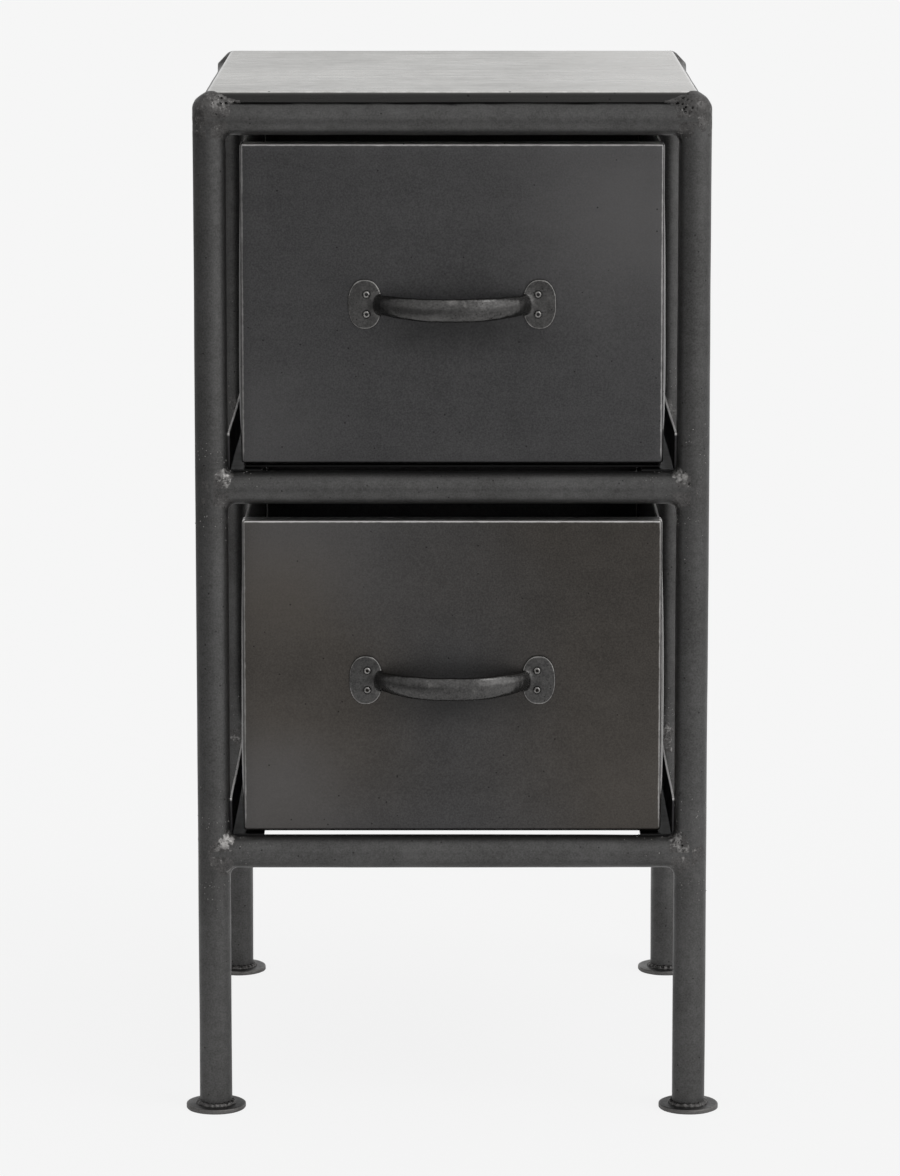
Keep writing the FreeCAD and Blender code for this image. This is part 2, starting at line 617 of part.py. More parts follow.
def make_handle(label, x, y, z):
    """Two riveted plates and the grip between them, one forging."""
    end = "(sizes.grip_span / 2)"
    bend = f"({end} - sizes.grip_rake)"
    back = "(sizes.handle_reach - sizes.grip_thickness)"
    root = "(sizes.plate_thickness / 2)"
    body = document.addObject("PartDesign::Body", label)
    plan = make_sketch(body, f"{label}_plan", "XY_Plane")
    draw_outline(plan, "arch", (
        (f"-{end}", root), (f"-{bend}", "sizes.handle_reach"), (bend, "sizes.handle_reach"), (end, root),
        (f"{end} - sizes.grip_root", root), (f"{bend} - sizes.grip_root", back),
        (f"-{bend} + sizes.grip_root", back), (f"-{end} + sizes.grip_root", root),
    ))
    arch = pad(body, f"{label}_arch", plan, "sizes.grip_height", both_ways=True)
    outer = straight_edges(arch, AXIS_Z, lambda middle: at(middle.y, "sizes.handle_reach"))
    curved = fillet(body, f"{label}_outer_bends", arch, outer, "sizes.grip_outer_bend")
    inner = straight_edges(curved, AXIS_Z, lambda middle: at(middle.y, back))
    arched = fillet(body, f"{label}_inner_bends", curved, inner, "sizes.grip_inner_bend")
    flats = [
        f"Face{number}"
        for number, face in enumerate(arched.Shape.Faces, start=1)
        if face.Surface.TypeId == "Part::GeomPlane" and at(abs(face.CenterOfMass.z), "sizes.grip_height / 2")
    ]
    fillet(body, f"{label}_rounding", arched, flats, "sizes.grip_round")

    plates = make_sketch(body, f"{label}_plate_outline", "XZ_Plane")
    for side, sign in (("left", "-"), ("right", "")):
        middle = f"{sign}sizes.plate_spacing / 2"
        draw_block(plates, side, f"{middle} - sizes.plate_width / 2", "-sizes.plate_height / 2",
                   f"{middle} + sizes.plate_width / 2", "sizes.plate_height / 2")
    flat = pad(body, f"{label}_plates", plates, "sizes.plate_thickness", reverse=True)
    corners = straight_edges(flat, AXIS_Y, lambda middle: at(abs(middle.z), "sizes.plate_height / 2"))
    fillet(body, f"{label}_plate_corners", flat, corners, "sizes.plate_corner")
    holes = make_sketch(body, f"{label}_rivet_holes", "XZ_Plane")
    draw_rivet_holes(holes, ZERO)
    pocket(body, f"{label}_drilled", holes, "sizes.plate_thickness")
    place(body, x, y, z, HALF_TURN)
    return node(body, label)


def make_rivets(drawer, middle_z):
    """Four hollow rivets through a handle's plates and the drawer front."""
    x = "-sizes.rivet_pitch_x / 2"
    z = f"{middle_z} + sizes.rivet_pitch_z / 2"
    plate_y = f"({FACE_Y} - sizes.plate_thickness)"
    grip = "(sizes.plate_thickness + sizes.drawer_sheet)"
    head_y = f"({plate_y} - sizes.rivet_head_height)"
    length = f"(sizes.rivet_head_height + {grip} + sizes.rivet_tail_height)"
    solid = document.addObject("Part::MultiFuse", f"{drawer}_rivet_solid")
    solid.Shapes = [
        rod(f"{drawer}_rivet_head", "sizes.rivet_head / 2", "sizes.rivet_head_height", x, head_y, z, ALONG_Y),
        rod(f"{drawer}_rivet_shank", "sizes.rivet_shank / 2", grip, x, plate_y, z, ALONG_Y),
        rod(f"{drawer}_rivet_tail", "sizes.rivet_head / 2", "sizes.rivet_tail_height",
            x, f"{FACE_Y} + sizes.drawer_sheet", z, ALONG_Y),
    ]
    bore = rod(f"{drawer}_rivet_bore", "sizes.rivet_bore / 2", length, x, head_y, z, ALONG_Y)
    rivet = cut(f"{drawer}_rivet", solid, bore)
    below = mirror(f"{drawer}_rivet_below", rivet, AXIS_Z, z=middle_z)
    pair = gather(f"{drawer}_rivet_pair", [rivet, below])
    other = mirror(f"{drawer}_rivets_right", pair, AXIS_X)
    return node(gather(f"{drawer}_rivets", [pair, other]), f"{drawer}_handle_rivets")


def make_drawer(drawer, rail, rail_above):
    """A drawer of folded sheet: shell, front, back, handle and rivets."""
    lift = f"sizes.{drawer}_front_lift"
    ledge_top = f"({RAIL_HEIGHTS[rail]} + {TUBE_RADIUS} + sizes.runner_sheet)"
    shell_z = f"({ledge_top} + sizes.slide_gap)"
    front_z = f"({shell_z} + sizes.drawer_sheet + {lift})"
    front_top = f"({RAIL_HEIGHTS[rail_above]} - {TUBE_RADIUS} - sizes.{drawer}_top_gap)"
    front_height = f"({front_top} - {front_z})"
    shell_height = f"({front_top} - sizes.drawer_sheet - {shell_z})"
    handle_rise = f"({front_height} / 2 - sizes.{drawer}_handle_drop)"

    shell = make_shell(f"{drawer}_drawer_shell", shell_height, ZERO, f"{FACE_Y} + sizes.front_lap", shell_z)

    front = make_pan(f"{drawer}_drawer_front", FRONT_WIDTH, front_height, "sizes.front_flange")
    holes = make_sketch(front, f"{drawer}_front_holes", "XZ_Plane")
    draw_rivet_holes(holes, handle_rise)
    pocket(front, f"{drawer}_front_drilled", holes, "sizes.drawer_sheet")
    place(front, ZERO, FACE_Y, front_z)
    # The front's lower flange is slotted where the shell's walls pass it.
    node(cut(f"{drawer}_front", front, shell), f"{drawer}_drawer_front")

    back_width = f"({SHELL_WIDTH} - 2 * sizes.drawer_sheet)"
    back_height = f"({shell_height} - sizes.drawer_sheet)"
    back = make_pan(f"{drawer}_drawer_back", back_width, back_height, "sizes.back_flange")
    place(back, ZERO, f"{FACE_Y} + {DRAWER_DEPTH} - sizes.back_flange", f"{shell_z} + sizes.drawer_sheet")
    node(back, f"{drawer}_drawer_back")

    handle_z = f"({front_z} + {handle_rise})"
    make_handle(f"{drawer}_handle", ZERO, FACE_Y, handle_z)
    make_rivets(drawer, handle_z)


# ---------------------------------------------------------------- build

def check_and_export():
    """Stop on any failed object or bad shape, then write one file for each sub-part."""
    document.recompute()
    for item in document.Objects:
        if "Invalid" in item.State or "Error" in item.State:
            raise RuntimeError(f"{item.Label} failed: {item.State}")
    for item in nodes:
        if item.Shape.isNull() or not item.Shape.isValid():
            raise RuntimeError(f"{item.Label} has no valid shape")
    os.makedirs(PARTS_FOLDER, exist_ok=True)
    for item in nodes:
        item.Shape.exportStep(os.path.join(PARTS_FOLDER, f"{item.Label}.step"))
        print(f"{item.Label}: {len(item.Shape.Solids)} solid(s), {item.Shape.Volume:.0f} mm3")


bars = make_frame()
make_lid()
make_runners(bars)
make_drawer("upper", "middle", "top")
make_drawer("lower", "bottom", "middle")
check_and_export()
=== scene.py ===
import logging
import math
from dataclasses import dataclass, field
from enum import Enum
from itertools import count, product
from typing import Callable, Iterable, Optional, Sequence

import bpy
import numpy as np
from mathutils import Euler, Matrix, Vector


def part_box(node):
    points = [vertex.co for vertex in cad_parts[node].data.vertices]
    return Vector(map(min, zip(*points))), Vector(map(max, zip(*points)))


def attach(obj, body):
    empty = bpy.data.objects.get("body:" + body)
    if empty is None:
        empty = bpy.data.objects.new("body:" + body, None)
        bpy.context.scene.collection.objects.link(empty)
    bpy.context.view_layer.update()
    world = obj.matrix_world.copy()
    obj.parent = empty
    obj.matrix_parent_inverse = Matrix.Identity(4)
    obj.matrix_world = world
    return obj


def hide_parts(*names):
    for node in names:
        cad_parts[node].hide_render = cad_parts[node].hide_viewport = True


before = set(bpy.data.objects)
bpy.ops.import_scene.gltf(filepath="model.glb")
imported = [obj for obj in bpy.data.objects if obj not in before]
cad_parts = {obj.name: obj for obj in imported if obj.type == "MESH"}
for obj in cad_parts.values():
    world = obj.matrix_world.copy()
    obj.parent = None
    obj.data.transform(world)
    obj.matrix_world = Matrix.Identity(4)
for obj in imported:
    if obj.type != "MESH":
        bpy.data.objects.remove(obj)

# A small two-drawer chest of blackened steel: tube frame, folded lid, two folded drawers.
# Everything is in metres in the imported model's own frame: +Z up, the front towards -Y.
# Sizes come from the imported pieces' boxes, or stand as fields of the class that uses them.

log = logging.getLogger("chest")
MM = 0.001
Array = np.ndarray
Field = Callable[[Array], Array]
Loops = Iterable[Sequence[int]]
Mesh = tuple[Array, list[list[int]]]
Triple = tuple[float, float, float]
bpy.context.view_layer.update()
# multipliers that scatter the bits of whole numbers
HASH_PRIMES = (374761393, 668265263, 2147483647)
SEED_PRIME = 974634777
MIXING_PRIME = 1274126177
# points along a quarter of a round bend
BEND_POINTS = 6
ENDS, SIDES, LEVELS = ("front", "rear"), ("left", "right"), ("top", "middle", "bottom")
# a height above the whole chest
ABOVE_ALL = 1.0


# ---------------------------------------------------------------- unevenness

def hashed(cells: Array, seed: int) -> Array:
    """Turn whole-number lattice points into numbers from -1 to 1.

    Args:
        cells: lattice points, whole numbers, last axis of length 3.
        seed: chooses one of many independent patterns.

    Returns:
        One number for each point, the same on every run.
    """
    mixed = sum(cells[..., axis] * prime for axis, prime in enumerate(HASH_PRIMES))
    mixed = mixed + seed * SEED_PRIME
    mixed = (mixed ^ (mixed >> 13)) * MIXING_PRIME
    mixed = mixed ^ (mixed >> 16)
    return (mixed & 0xFFFF) / 32767.5 - 1.0


def noise(points: Array, size: float, seed: int, octaves: int = 1) -> Array:
    """Smooth unevenness that runs through space.

    Args:
        points: places in metres, one row each.
        size: width of the largest swellings, in metres.
        seed: chooses the pattern.
        octaves: how many ever finer layers are added up.

    Returns:
        One number for each point, about -1 to 1.
    """
    total = np.zeros(len(points))
    strength = 1.0
    for octave in range(octaves):
        scaled = points / size
        cell = np.floor(scaled).astype(np.int64)
        part = scaled - cell
        part = part * part * (3 - 2 * part)
        for corner in product((0, 1), repeat=3):
            weight = np.prod(np.where(np.array(corner, bool), part, 1 - part), axis=1)
            total += strength * weight * hashed(cell + np.array(corner), seed + octave)
        size *= 0.5
        strength *= 0.5
    return total


def hollows(points: Array, size: float, seed: int) -> Array:
    """Round hollows side by side, such as a hammer leaves.

    Args:
        points: places in metres, one row each.
        size: spacing of the hollows, in metres.
        seed: chooses the pattern.

    Returns:
        1 in the middle of a hollow, falling to 0 at its rim.
    """
    strewn, steepness = 0.42, 1.3
    scaled = points / size
    cell = np.floor(scaled).astype(np.int64)
    nearest = np.full(len(points), np.inf)
    for corner in product((-1, 0, 1), repeat=3):
        near = cell + np.array(corner)
        jitter = np.stack([hashed(near, seed + k) for k in range(3)], -1) * strewn + 0.5
        nearest = np.minimum(nearest, np.linalg.norm(scaled - near - jitter, axis=1))
    return np.clip(1 - nearest ** 2 * steepness, 0, None)


# ---------------------------------------------------------------- solid fields

def capsule(points: Array, start: Sequence[float], end: Sequence[float], radius: float) -> Array:
    """Distance from each point to a round-ended bar.

    Args:
        points: places in metres, one row each.
        start: one end of the bar's axis.
        end: the other end.
        radius: of the bar.

    Returns:
        Distances, negative inside.
    """
    start, end = np.array(start, float), np.array(end, float)
    along = end - start
    share = np.clip((points - start) @ along / (along @ along), 0, 1)
    return np.linalg.norm(points - start - share[:, None] * along, axis=1) - radius


def block(points: Array, centre: Sequence[float], half: Sequence[float], rounding: float) -> Array:
    """Distance from each point to a block with rounded edges.

    Args:
        points: places in metres, one row each.
        centre: middle of the block.
        half: half its size along each axis.
        rounding: radius of its edges.

    Returns:
        Distances, negative inside.
    """
    past = np.abs(points - np.array(centre)) - np.array(half) + rounding
    outside = np.linalg.norm(np.maximum(past, 0), axis=1)
    return outside + np.minimum(past.max(axis=1), 0) - rounding


def melted(gaps: Sequence[Array], softness: float) -> Array:
    """Run several solids together with a soft hollow where they meet.

    Args:
        gaps: the distance to each solid.
        softness: how far the metal has flowed, in metres.

    Returns:
        The distance to the joined solid.
    """
    stack = np.stack(gaps)
    least = stack.min(axis=0)
    return least - softness * np.log(np.exp((least - stack) / softness).sum(axis=0))


def skin(solid: Field, low: Sequence[float], high: Sequence[float], cell: float) -> tuple[Array, Array]:
    """Lay a mesh of quads over a solid given as a distance field.

    Args:
        solid: gives the distance to the solid, negative inside.
        low: lowest corner of the space that holds it.
        high: highest corner.
        cell: width of a quad, in metres.

    Returns:
        The points, and the quads as rows of four point numbers.
    """
    low, high = np.array(low, float), np.array(high, float)
    counts = np.ceil((high - low) / cell).astype(int) + 1
    axes = [low[k] + cell * np.arange(counts[k]) for k in range(3)]
    grid = np.stack(np.meshgrid(*axes, indexing="ij"), -1)
    value = solid(grid.reshape(-1, 3)).reshape(counts)
    total = np.zeros((*(counts - 1), 3))
    hits = np.zeros(counts - 1, int)
    crossings = []
    for axis in range(3):
        lead, tail = [slice(None)] * 3, [slice(None)] * 3
        lead[axis], tail[axis] = slice(0, -1), slice(1, None)
        first, second = value[tuple(lead)], value[tuple(tail)]
        crossed = (first < 0) != (second < 0)
        share = np.where(crossed, first / np.where(crossed, first - second, 1), 0)
        spot = grid[tuple(lead)].copy()
        spot[..., axis] += share * cell
        spot[~crossed] = 0
        others = [k for k in range(3) if k != axis]
        for shifts in product((0, 1), repeat=2):
            source = [slice(None)] * 3
            for k, shift in zip(others, shifts):
                source[k] = slice(shift, counts[k] - 1 + shift)
            total += spot[tuple(source)]
            hits += crossed[tuple(source)]
        crossings.append((axis, others, crossed, first < 0))
    filled = hits > 0
    number = np.full(hits.shape, -1)
    number[filled] = np.arange(filled.sum())
    points = total[filled] / hits[filled][:, None]
    quads = []
    for axis, others, crossed, inward in crossings:
        at = np.argwhere(crossed)
        u, v = others
        at = at[(at[:, u] > 0) & (at[:, v] > 0) & (at[:, u] < counts[u] - 1) & (at[:, v] < counts[v] - 1)]
        loop = []
        for du, dv in ((1, 1), (0, 1), (0, 0), (1, 0)):
            cells = at.copy()
            cells[:, u] -= du
            cells[:, v] -= dv
            loop.append(number[tuple(cells.T)])
        loop = np.stack(loop, -1)
        outward = inward[tuple(at.T)] != (axis == 1)
        loop[~outward] = loop[~outward][:, ::-1]
        quads.append(loop)
    step, furthest, flattest, rounds = cell * 0.2, 0.4 * cell, 0.2, 2
    for _ in range(rounds):
        base = solid(points)
        slope = np.stack([(solid(points + step * np.eye(3)[k]) - base) / step for k in range(3)], -1)
        move = base[:, None] * slope / np.maximum((slope ** 2).sum(axis=1), flattest)[:, None]
        points = points - np.clip(move, -furthest, furthest)
    return points, np.concatenate(quads)


# ---------------------------------------------------------------- turned and folded shapes

def turned(
    profile: Sequence[tuple[float, float]],
    origin: Sequence[float],
    axis: Sequence[float],
    sides: int = 56,
    closed: bool = False,
) -> Mesh:
    """Turn a profile round an axis, as on a lathe.

    Args:
        profile: places along the axis with a radius each; an end of radius 0 closes in one point.
        origin: where the axis starts.
        axis: its direction.
        sides: how many flats go round.
        closed: whether the profile runs back to its start.

    Returns:
        The points and the faces.
    """
    along = Vector(axis).normalized()
    side = along.orthogonal().normalized()
    across = along.cross(side)
    points: list[Vector] = []
    rings: list[list[int]] = []
    for distance, radius in profile:
        middle = Vector(origin) + along * distance
        if radius <= 0:
            rings.append([len(points)] * sides)
            points.append(middle)
            continue
        rings.append(list(range(len(points), len(points) + sides)))
        for k in range(sides):
            angle = 2 * math.pi * k / sides
            points.append(middle + (side * math.cos(angle) + across * math.sin(angle)) * radius)
    if closed:
        rings.append(rings[0])
    faces = []
    for lower, upper in zip(rings, rings[1:]):
        for k in range(sides):
            following = (k + 1) % sides
            loop = [lower[k], lower[following], upper[following], upper[k]]
            faces.append(list(dict.fromkeys(loop)))
    return np.array(points), faces


def spread(length: float, rounding: float, step: float) -> Array:
    """Places along a folded sheet's side, close together at its two folds.

    Args:
        length: of the side.
        rounding: outer radius of the folds.
        step: largest distance between two places.

    Returns:
        Places from minus half to plus half the length.
    """
    bend = rounding * (1 - np.cos(np.linspace(0, math.pi / 2, BEND_POINTS)))
    half = length / 2
    count = max(2, int((length - 2 * rounding) / step))
    middle = np.linspace(-half + rounding, half - rounding, count + 1)
    return np.concatenate([-half + bend[:-1], middle, half - bend[:-1][::-1]])


def tray(width: float, length: float, depth: float, rounding: float, step: float) -> Mesh:
    """The outer face of a sheet with its four edges folded back, open below.

    Args:
        width: along X.
        length: along Y.
        depth: of the folded edge, along Z, below the face at 0.
        rounding: outer radius of the folds.
        step: largest distance between two points.

    Returns:
        The points and the faces.
    """
    xs, ys = spread(width, rounding, step), spread(length, rounding, step)
    rows_down = 5
    drops = -np.concatenate([rounding * np.sin(np.linspace(0, math.pi / 2, BEND_POINTS))[1:],
                             np.linspace(rounding, depth, rows_down)[1:]])
    points = [(x, y, 0.0) for y in ys for x in xs]
    columns = len(xs)
    faces = [
        [row * columns + k, row * columns + k + 1, (row + 1) * columns + k + 1, (row + 1) * columns + k]
        for row in range(len(ys) - 1) for k in range(columns - 1)
    ]
    rim = list(range(columns))
    rim += [row * columns + columns - 1 for row in range(1, len(ys))]
    rim += [(len(ys) - 1) * columns + k for k in range(columns - 2, -1, -1)]
    rim += [row * columns for row in range(len(ys) - 2, 0, -1)]
    for drop in drops:
        lower = list(range(len(points), len(points) + len(rim)))
        points += [(points[k][0], points[k][1], drop) for k in rim]
        faces += [
            [rim[k], lower[k], lower[(k + 1) % len(rim)], rim[(k + 1) % len(rim)]]
            for k in range(len(rim))
        ]
        rim = lower
    placed = np.array(points)
    hub = np.stack([
        np.clip(placed[:, 0], -width / 2 + rounding, width / 2 - rounding),
        np.clip(placed[:, 1], -length / 2 + rounding, length / 2 - rounding),
        np.minimum(placed[:, 2], -rounding),
    ], -1)
    away = placed - hub
    reach = np.linalg.norm(away, axis=1)
    return hub + away * (rounding / np.maximum(reach, 1e-9))[:, None], faces


def swept(outline: Sequence[tuple[float, float]], stations: Sequence[float]) -> Mesh:
    """Run a closed outline in X and Z along Y, and close both ends.

    Args:
        outline: its corners, in order.
        stations: places along Y.

    Returns:
        The points and the faces.
    """
    count = len(outline)
    points = [(x, y, z) for y in stations for x, z in outline]
    faces = [
        [row * count + k, row * count + (k + 1) % count, (row + 1) * count + (k + 1) % count, (row + 1) * count + k]
        for row in range(len(stations) - 1) for k in range(count)
    ]
    faces += [list(range(count))[::-1], [(len(stations) - 1) * count + k for k in range(count)]]
    return np.array(points), faces


def bent(corners: Sequence[tuple[float, float]], radius: float, sheet: float, step: float) -> list[tuple[float, float]]:
    """The section of a sheet that is bent at each inner corner of a line.

    Args:
        corners: the outer face's line, in X and Z, turning left at each corner.
        radius: outer radius of the bends.
        sheet: thickness, towards the left of the line.
        step: largest distance between two points.

    Returns:
        The closed outline: along the outer face and back along the inner one.
    """
    spots: list[tuple[Array, Array]] = []
    line = [np.array(c, float) for c in corners]
    for number, (start, end) in enumerate(zip(line, line[1:])):
        ahead = (end - start) / np.linalg.norm(end - start)
        left = np.array((-ahead[1], ahead[0]))
        begin = start + ahead * (radius if number else 0)
        finish = end - ahead * (radius if number < len(line) - 2 else 0)
        parts = max(2, int(np.linalg.norm(finish - begin) / step))
        shares = np.linspace(0, 1, parts + 1)
        spots += [(begin + (finish - begin) * share, left) for share in shares]
        if number < len(line) - 2:
            hub = finish + left * radius
            for angle in np.linspace(0, math.pi / 2, BEND_POINTS + 1)[1:-1]:
                turn = ahead * math.sin(angle) - left * math.cos(angle)
                spots.append((hub + turn * radius, -turn))
    outer = [tuple(spot) for spot, _ in spots]
    inner = [tuple(spot + inward * sheet) for spot, inward in spots]
    return outer + inner[::-1]


def joined(meshes: Iterable[tuple[Array, Loops]]) -> Mesh:
    """Put several meshes together as one.

    Args:
        meshes: the points and the faces of each.

    Returns:
        All the points and all the faces.
    """
    points, faces, start = [], [], 0
    for found, loops in meshes:
        points.append(found)
        quads = isinstance(loops, np.ndarray)
        faces += (loops + start).tolist() if quads else [[k + start for k in loop] for loop in loops]
        start += len(found)
    return np.concatenate(points), faces


def skins(solids: Iterable[tuple[Field, Array, Array]], cell: float) -> Mesh:
    """Lay one mesh of quads over several solids.

    Args:
        solids: the field of each, its middle and how far it may reach from there.
        cell: width of a quad, in metres.

    Returns:
        The points and the faces.
    """
    return joined(skin(gap, centre - room, centre + room, cell) for gap, centre, room in solids)


def fading(distance: Array, width: float) -> Array:
    """A soft spot: 1 at no distance, fading out over about twice the width."""
    return np.exp(-(distance / width) ** 2)


# ---------------------------------------------------------------- pieces

class Slot(Enum):
    """The finishes, by name."""

    FRAME = "frame_steel"
    FOOT = "foot_steel"
    WELD = "weld_metal"
    TOP = "top_steel"
    RUNNER = "runner_steel"
    DRAWER = "drawer_steel"
    HANDLE = "handle_iron"
    RIVET = "rivet_steel"


class Body(Enum):
    """The bodies that move."""

    FRAME = "frame"
    UPPER = "upper_drawer"
    LOWER = "lower_drawer"


@dataclass
class Piece:
    """One visible piece: its mesh, what it rides on and what it stands for."""

    name: str
    points: Array
    faces: Loops
    body: Body
    slot: Slot
    material: bpy.types.Material
    replaces: tuple[str, ...] = ()
    marks: dict[str, Array] = field(default_factory=dict)
    thickness: float = 0.0
    crisp: float = 40.0

    def build(self) -> bpy.types.Object:
        """Make the object and fix it to its body.

        Returns:
            The finished object.
        """
        mesh = bpy.data.meshes.new(self.name)
        mesh.from_pydata(np.asarray(self.points).tolist(), [], [list(map(int, loop)) for loop in self.faces])
        for label, values in self.marks.items():
            layer = mesh.attributes.new(label, "FLOAT", "POINT")
            layer.data.foreach_set("value", np.asarray(values, np.float32))
        mesh.materials.append(self.material)
        mesh.validate()
        piece = bpy.data.objects.new(self.name, mesh)
        bpy.context.scene.collection.objects.link(piece)
        if self.thickness:
            self.thicken(piece)
        piece.data.shade_smooth()
        piece.data.set_sharp_from_angle(angle=math.radians(self.crisp))
        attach(piece, self.body.value)
        if self.replaces:
            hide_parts(*self.replaces)
        log.info("%s: %d faces on %s", self.name, len(piece.data.polygons), self.body.value)
        return piece

    def thicken(self, piece: bpy.types.Object) -> None:
        """Give an outer skin the thickness of its sheet, inwards.

        Args:
            piece: the object whose mesh is a skin.
        """
        wall = piece.modifiers.new("wall", "SOLIDIFY")
        wall.thickness = self.thickness
        wall.offset = -1
        wall.use_even_offset = True
        shown = piece.evaluated_get(bpy.context.evaluated_depsgraph_get())
        solid = bpy.data.meshes.new_from_object(shown)
        piece.modifiers.clear()
        piece.data = solid


def extent(node: str) -> tuple[Array, Array]:
    """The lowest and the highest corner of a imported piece's box."""
    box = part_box(node)
    return np.array(box[0]), np.array(box[1])


def centre_of(node: str) -> Array:
    """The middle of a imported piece's box."""
    low, high = extent(node)
    return (low + high) / 2


def joint_at(end: str, side: str, level: str) -> Array:
    """Where the axes of a leg and of a rail at the front or the rear cross."""
    leg, rail = centre_of(f"{end}_{side}_leg"), centre_of(f"{end}_{level}_rail")
    return np.array((leg[0], leg[1], rail[2]))


def normals_of(points: Array, faces: Loops) -> Array:
    """Which way the surface faces at each point.

    Args:
        points: the mesh's points.
        faces: its faces.

    Returns:
        One direction of length 1 for each point.
    """
    mesh = bpy.data.meshes.new("measure")
    mesh.from_pydata(np.asarray(points).tolist(), [], [list(map(int, loop)) for loop in faces])
    found = np.zeros(len(points) * 3, np.float32)
    mesh.vertex_normals.foreach_get("vector", found)
    bpy.data.meshes.remove(mesh)
    return found.reshape(-1, 3).astype(float)


@dataclass(frozen=True)
class Joints:
    """Where tubes meet, which is where welding has heated the steel."""

    spots: Array
    fade: float = 24 * MM

    @classmethod
    def of_frame(cls) -> "Joints":
        """Read the joints from the rails' and legs' boxes.

        Returns:
            The twelve places where a rail meets a leg.
        """
        return cls(np.array([joint_at(*where) for where in product(ENDS, SIDES, LEVELS)]))

    def heat(self, points: Array) -> Array:
        """How much heat tint each point has.

        Args:
            points: places in metres, one row each.

        Returns:
            1 at a joint, fading to 0 about 40 mm away.
        """
        gaps = np.linalg.norm(points[:, None, :] - self.spots[None], axis=2).min(axis=1)
        return fading(gaps, self.fade)


# ---------------------------------------------------------------- finishes

class Graph:
    """Short hand for laying out shader nodes in one tree."""

    def __init__(self, tree: bpy.types.NodeTree) -> None:
        """Start on a tree."""
        self.tree = tree

    def node(self, kind: str, **settings: object) -> bpy.types.Node:
        """Add a node.

        Args:
            kind: its type.
            settings: properties to set on it.

        Returns:
            The node.
        """
        made = self.tree.nodes.new(kind)
        for name, value in settings.items():
            setattr(made, name, value)
        return made

    def feed(self, target: bpy.types.NodeSocket, source: object) -> None:
        """Give a socket a link or a plain value.

        Args:
            target: an input.
            source: an output to link, or a value.
        """
        if isinstance(source, bpy.types.NodeSocket):
            self.tree.links.new(source, target)
        else:
            target.default_value = source

    def calc(self, operation: str, *values: object, clamp: bool = False) -> bpy.types.NodeSocket:
        """Work out one number from others.

        Args:
            operation: of the Math node.
            values: sockets or numbers.
            clamp: whether the result stays from 0 to 1.

        Returns:
            The result.
        """
        made = self.node("ShaderNodeMath", operation=operation, use_clamp=clamp)
        for target, value in zip(made.inputs, values):
            self.feed(target, value)
        return made.outputs[0]

    def blend(self, share: object, first: object, second: object, how: str = "MIX") -> bpy.types.NodeSocket:
        """Blend two colours.

        Args:
            share: of the second.
            first: colour at 0.
            second: colour at 1.
            how: the way in which the two meet.

        Returns:
            The blended colour.
        """
        made = self.node("ShaderNodeMix", data_type="RGBA", blend_type=how)
        self.feed(made.inputs[0], share)
        self.feed(made.inputs[6], first)
        self.feed(made.inputs[7], second)
        return made.outputs[2]

    def swing(self, value: object, gain: object) -> bpy.types.NodeSocket:
        """Count a number from 0.5 and multiply it."""
        return self.calc("MULTIPLY", self.calc("SUBTRACT", value, 0.5), gain)

    def range(self, value: object, low: float, high: float, to_low: object = 0.0, to_high: object = 1.0) \
            -> bpy.types.NodeSocket:
        """Stretch a range of numbers onto another, and hold it there.

        Args:
            value: the number.
            low: start of its range.
            high: end of its range.
            to_low: what low becomes.
            to_high: what high becomes.

        Returns:
            The new number.
        """
        made = self.node("ShaderNodeMapRange")
        for target, given in zip(made.inputs, (value, low, high, to_low, to_high)):
            self.feed(target, given)
        return made.outputs[0]

    def cloud(self, vector: object, scale: object, detail: float = 4.0, roughness: float = 0.55) \
            -> bpy.types.NodeSocket:
        """Smooth noise in space.

        Args:
            vector: where.
            scale: how fine.
            detail: how many finer layers.
            roughness: how strong these are.

        Returns:
            Numbers round 0.5.
        """
        made = self.node("ShaderNodeTexNoise")
        self.feed(made.inputs["Vector"], vector)
        self.feed(made.inputs["Scale"], scale)
        self.feed(made.inputs["Detail"], detail)
        self.feed(made.inputs["Roughness"], roughness)
        return made.outputs["Fac"]

    def grey(self, level: object) -> bpy.types.NodeSocket:
        """Make a grey of a level.

        Args:
            level: from 0 for black to 1 for white.

        Returns:
            The colour.
        """
        made = self.node("ShaderNodeCombineColor")
        for socket in made.inputs[:3]:
            self.feed(socket, level)
        return made.outputs[0]

    def stretched(self, vector: object, scale: object) -> bpy.types.NodeSocket:
        """Scale places by an amount along each axis.

        Args:
            vector: the places.
            scale: the three amounts.

        Returns:
            The new places.
        """
        made = self.node("ShaderNodeVectorMath", operation="MULTIPLY")
        self.feed(made.inputs[0], vector)
        self.feed(made.inputs[1], scale)
        return made.outputs[0]

    def mark(self, name: str) -> bpy.types.NodeSocket:
        """Read a number stored with the mesh's points."""
        return self.node("ShaderNodeAttribute", attribute_name=name).outputs["Fac"]


class Effect(Enum):
    """The surface effects that several finishes share."""

    PATINA = "mottled_patina"
    GRAIN = "worked_grain"
    WEAR_AND_SHEEN = "edge_wear_and_sheen"
    PITS = "pits_and_specks"
    HEAT = "heat_tint"


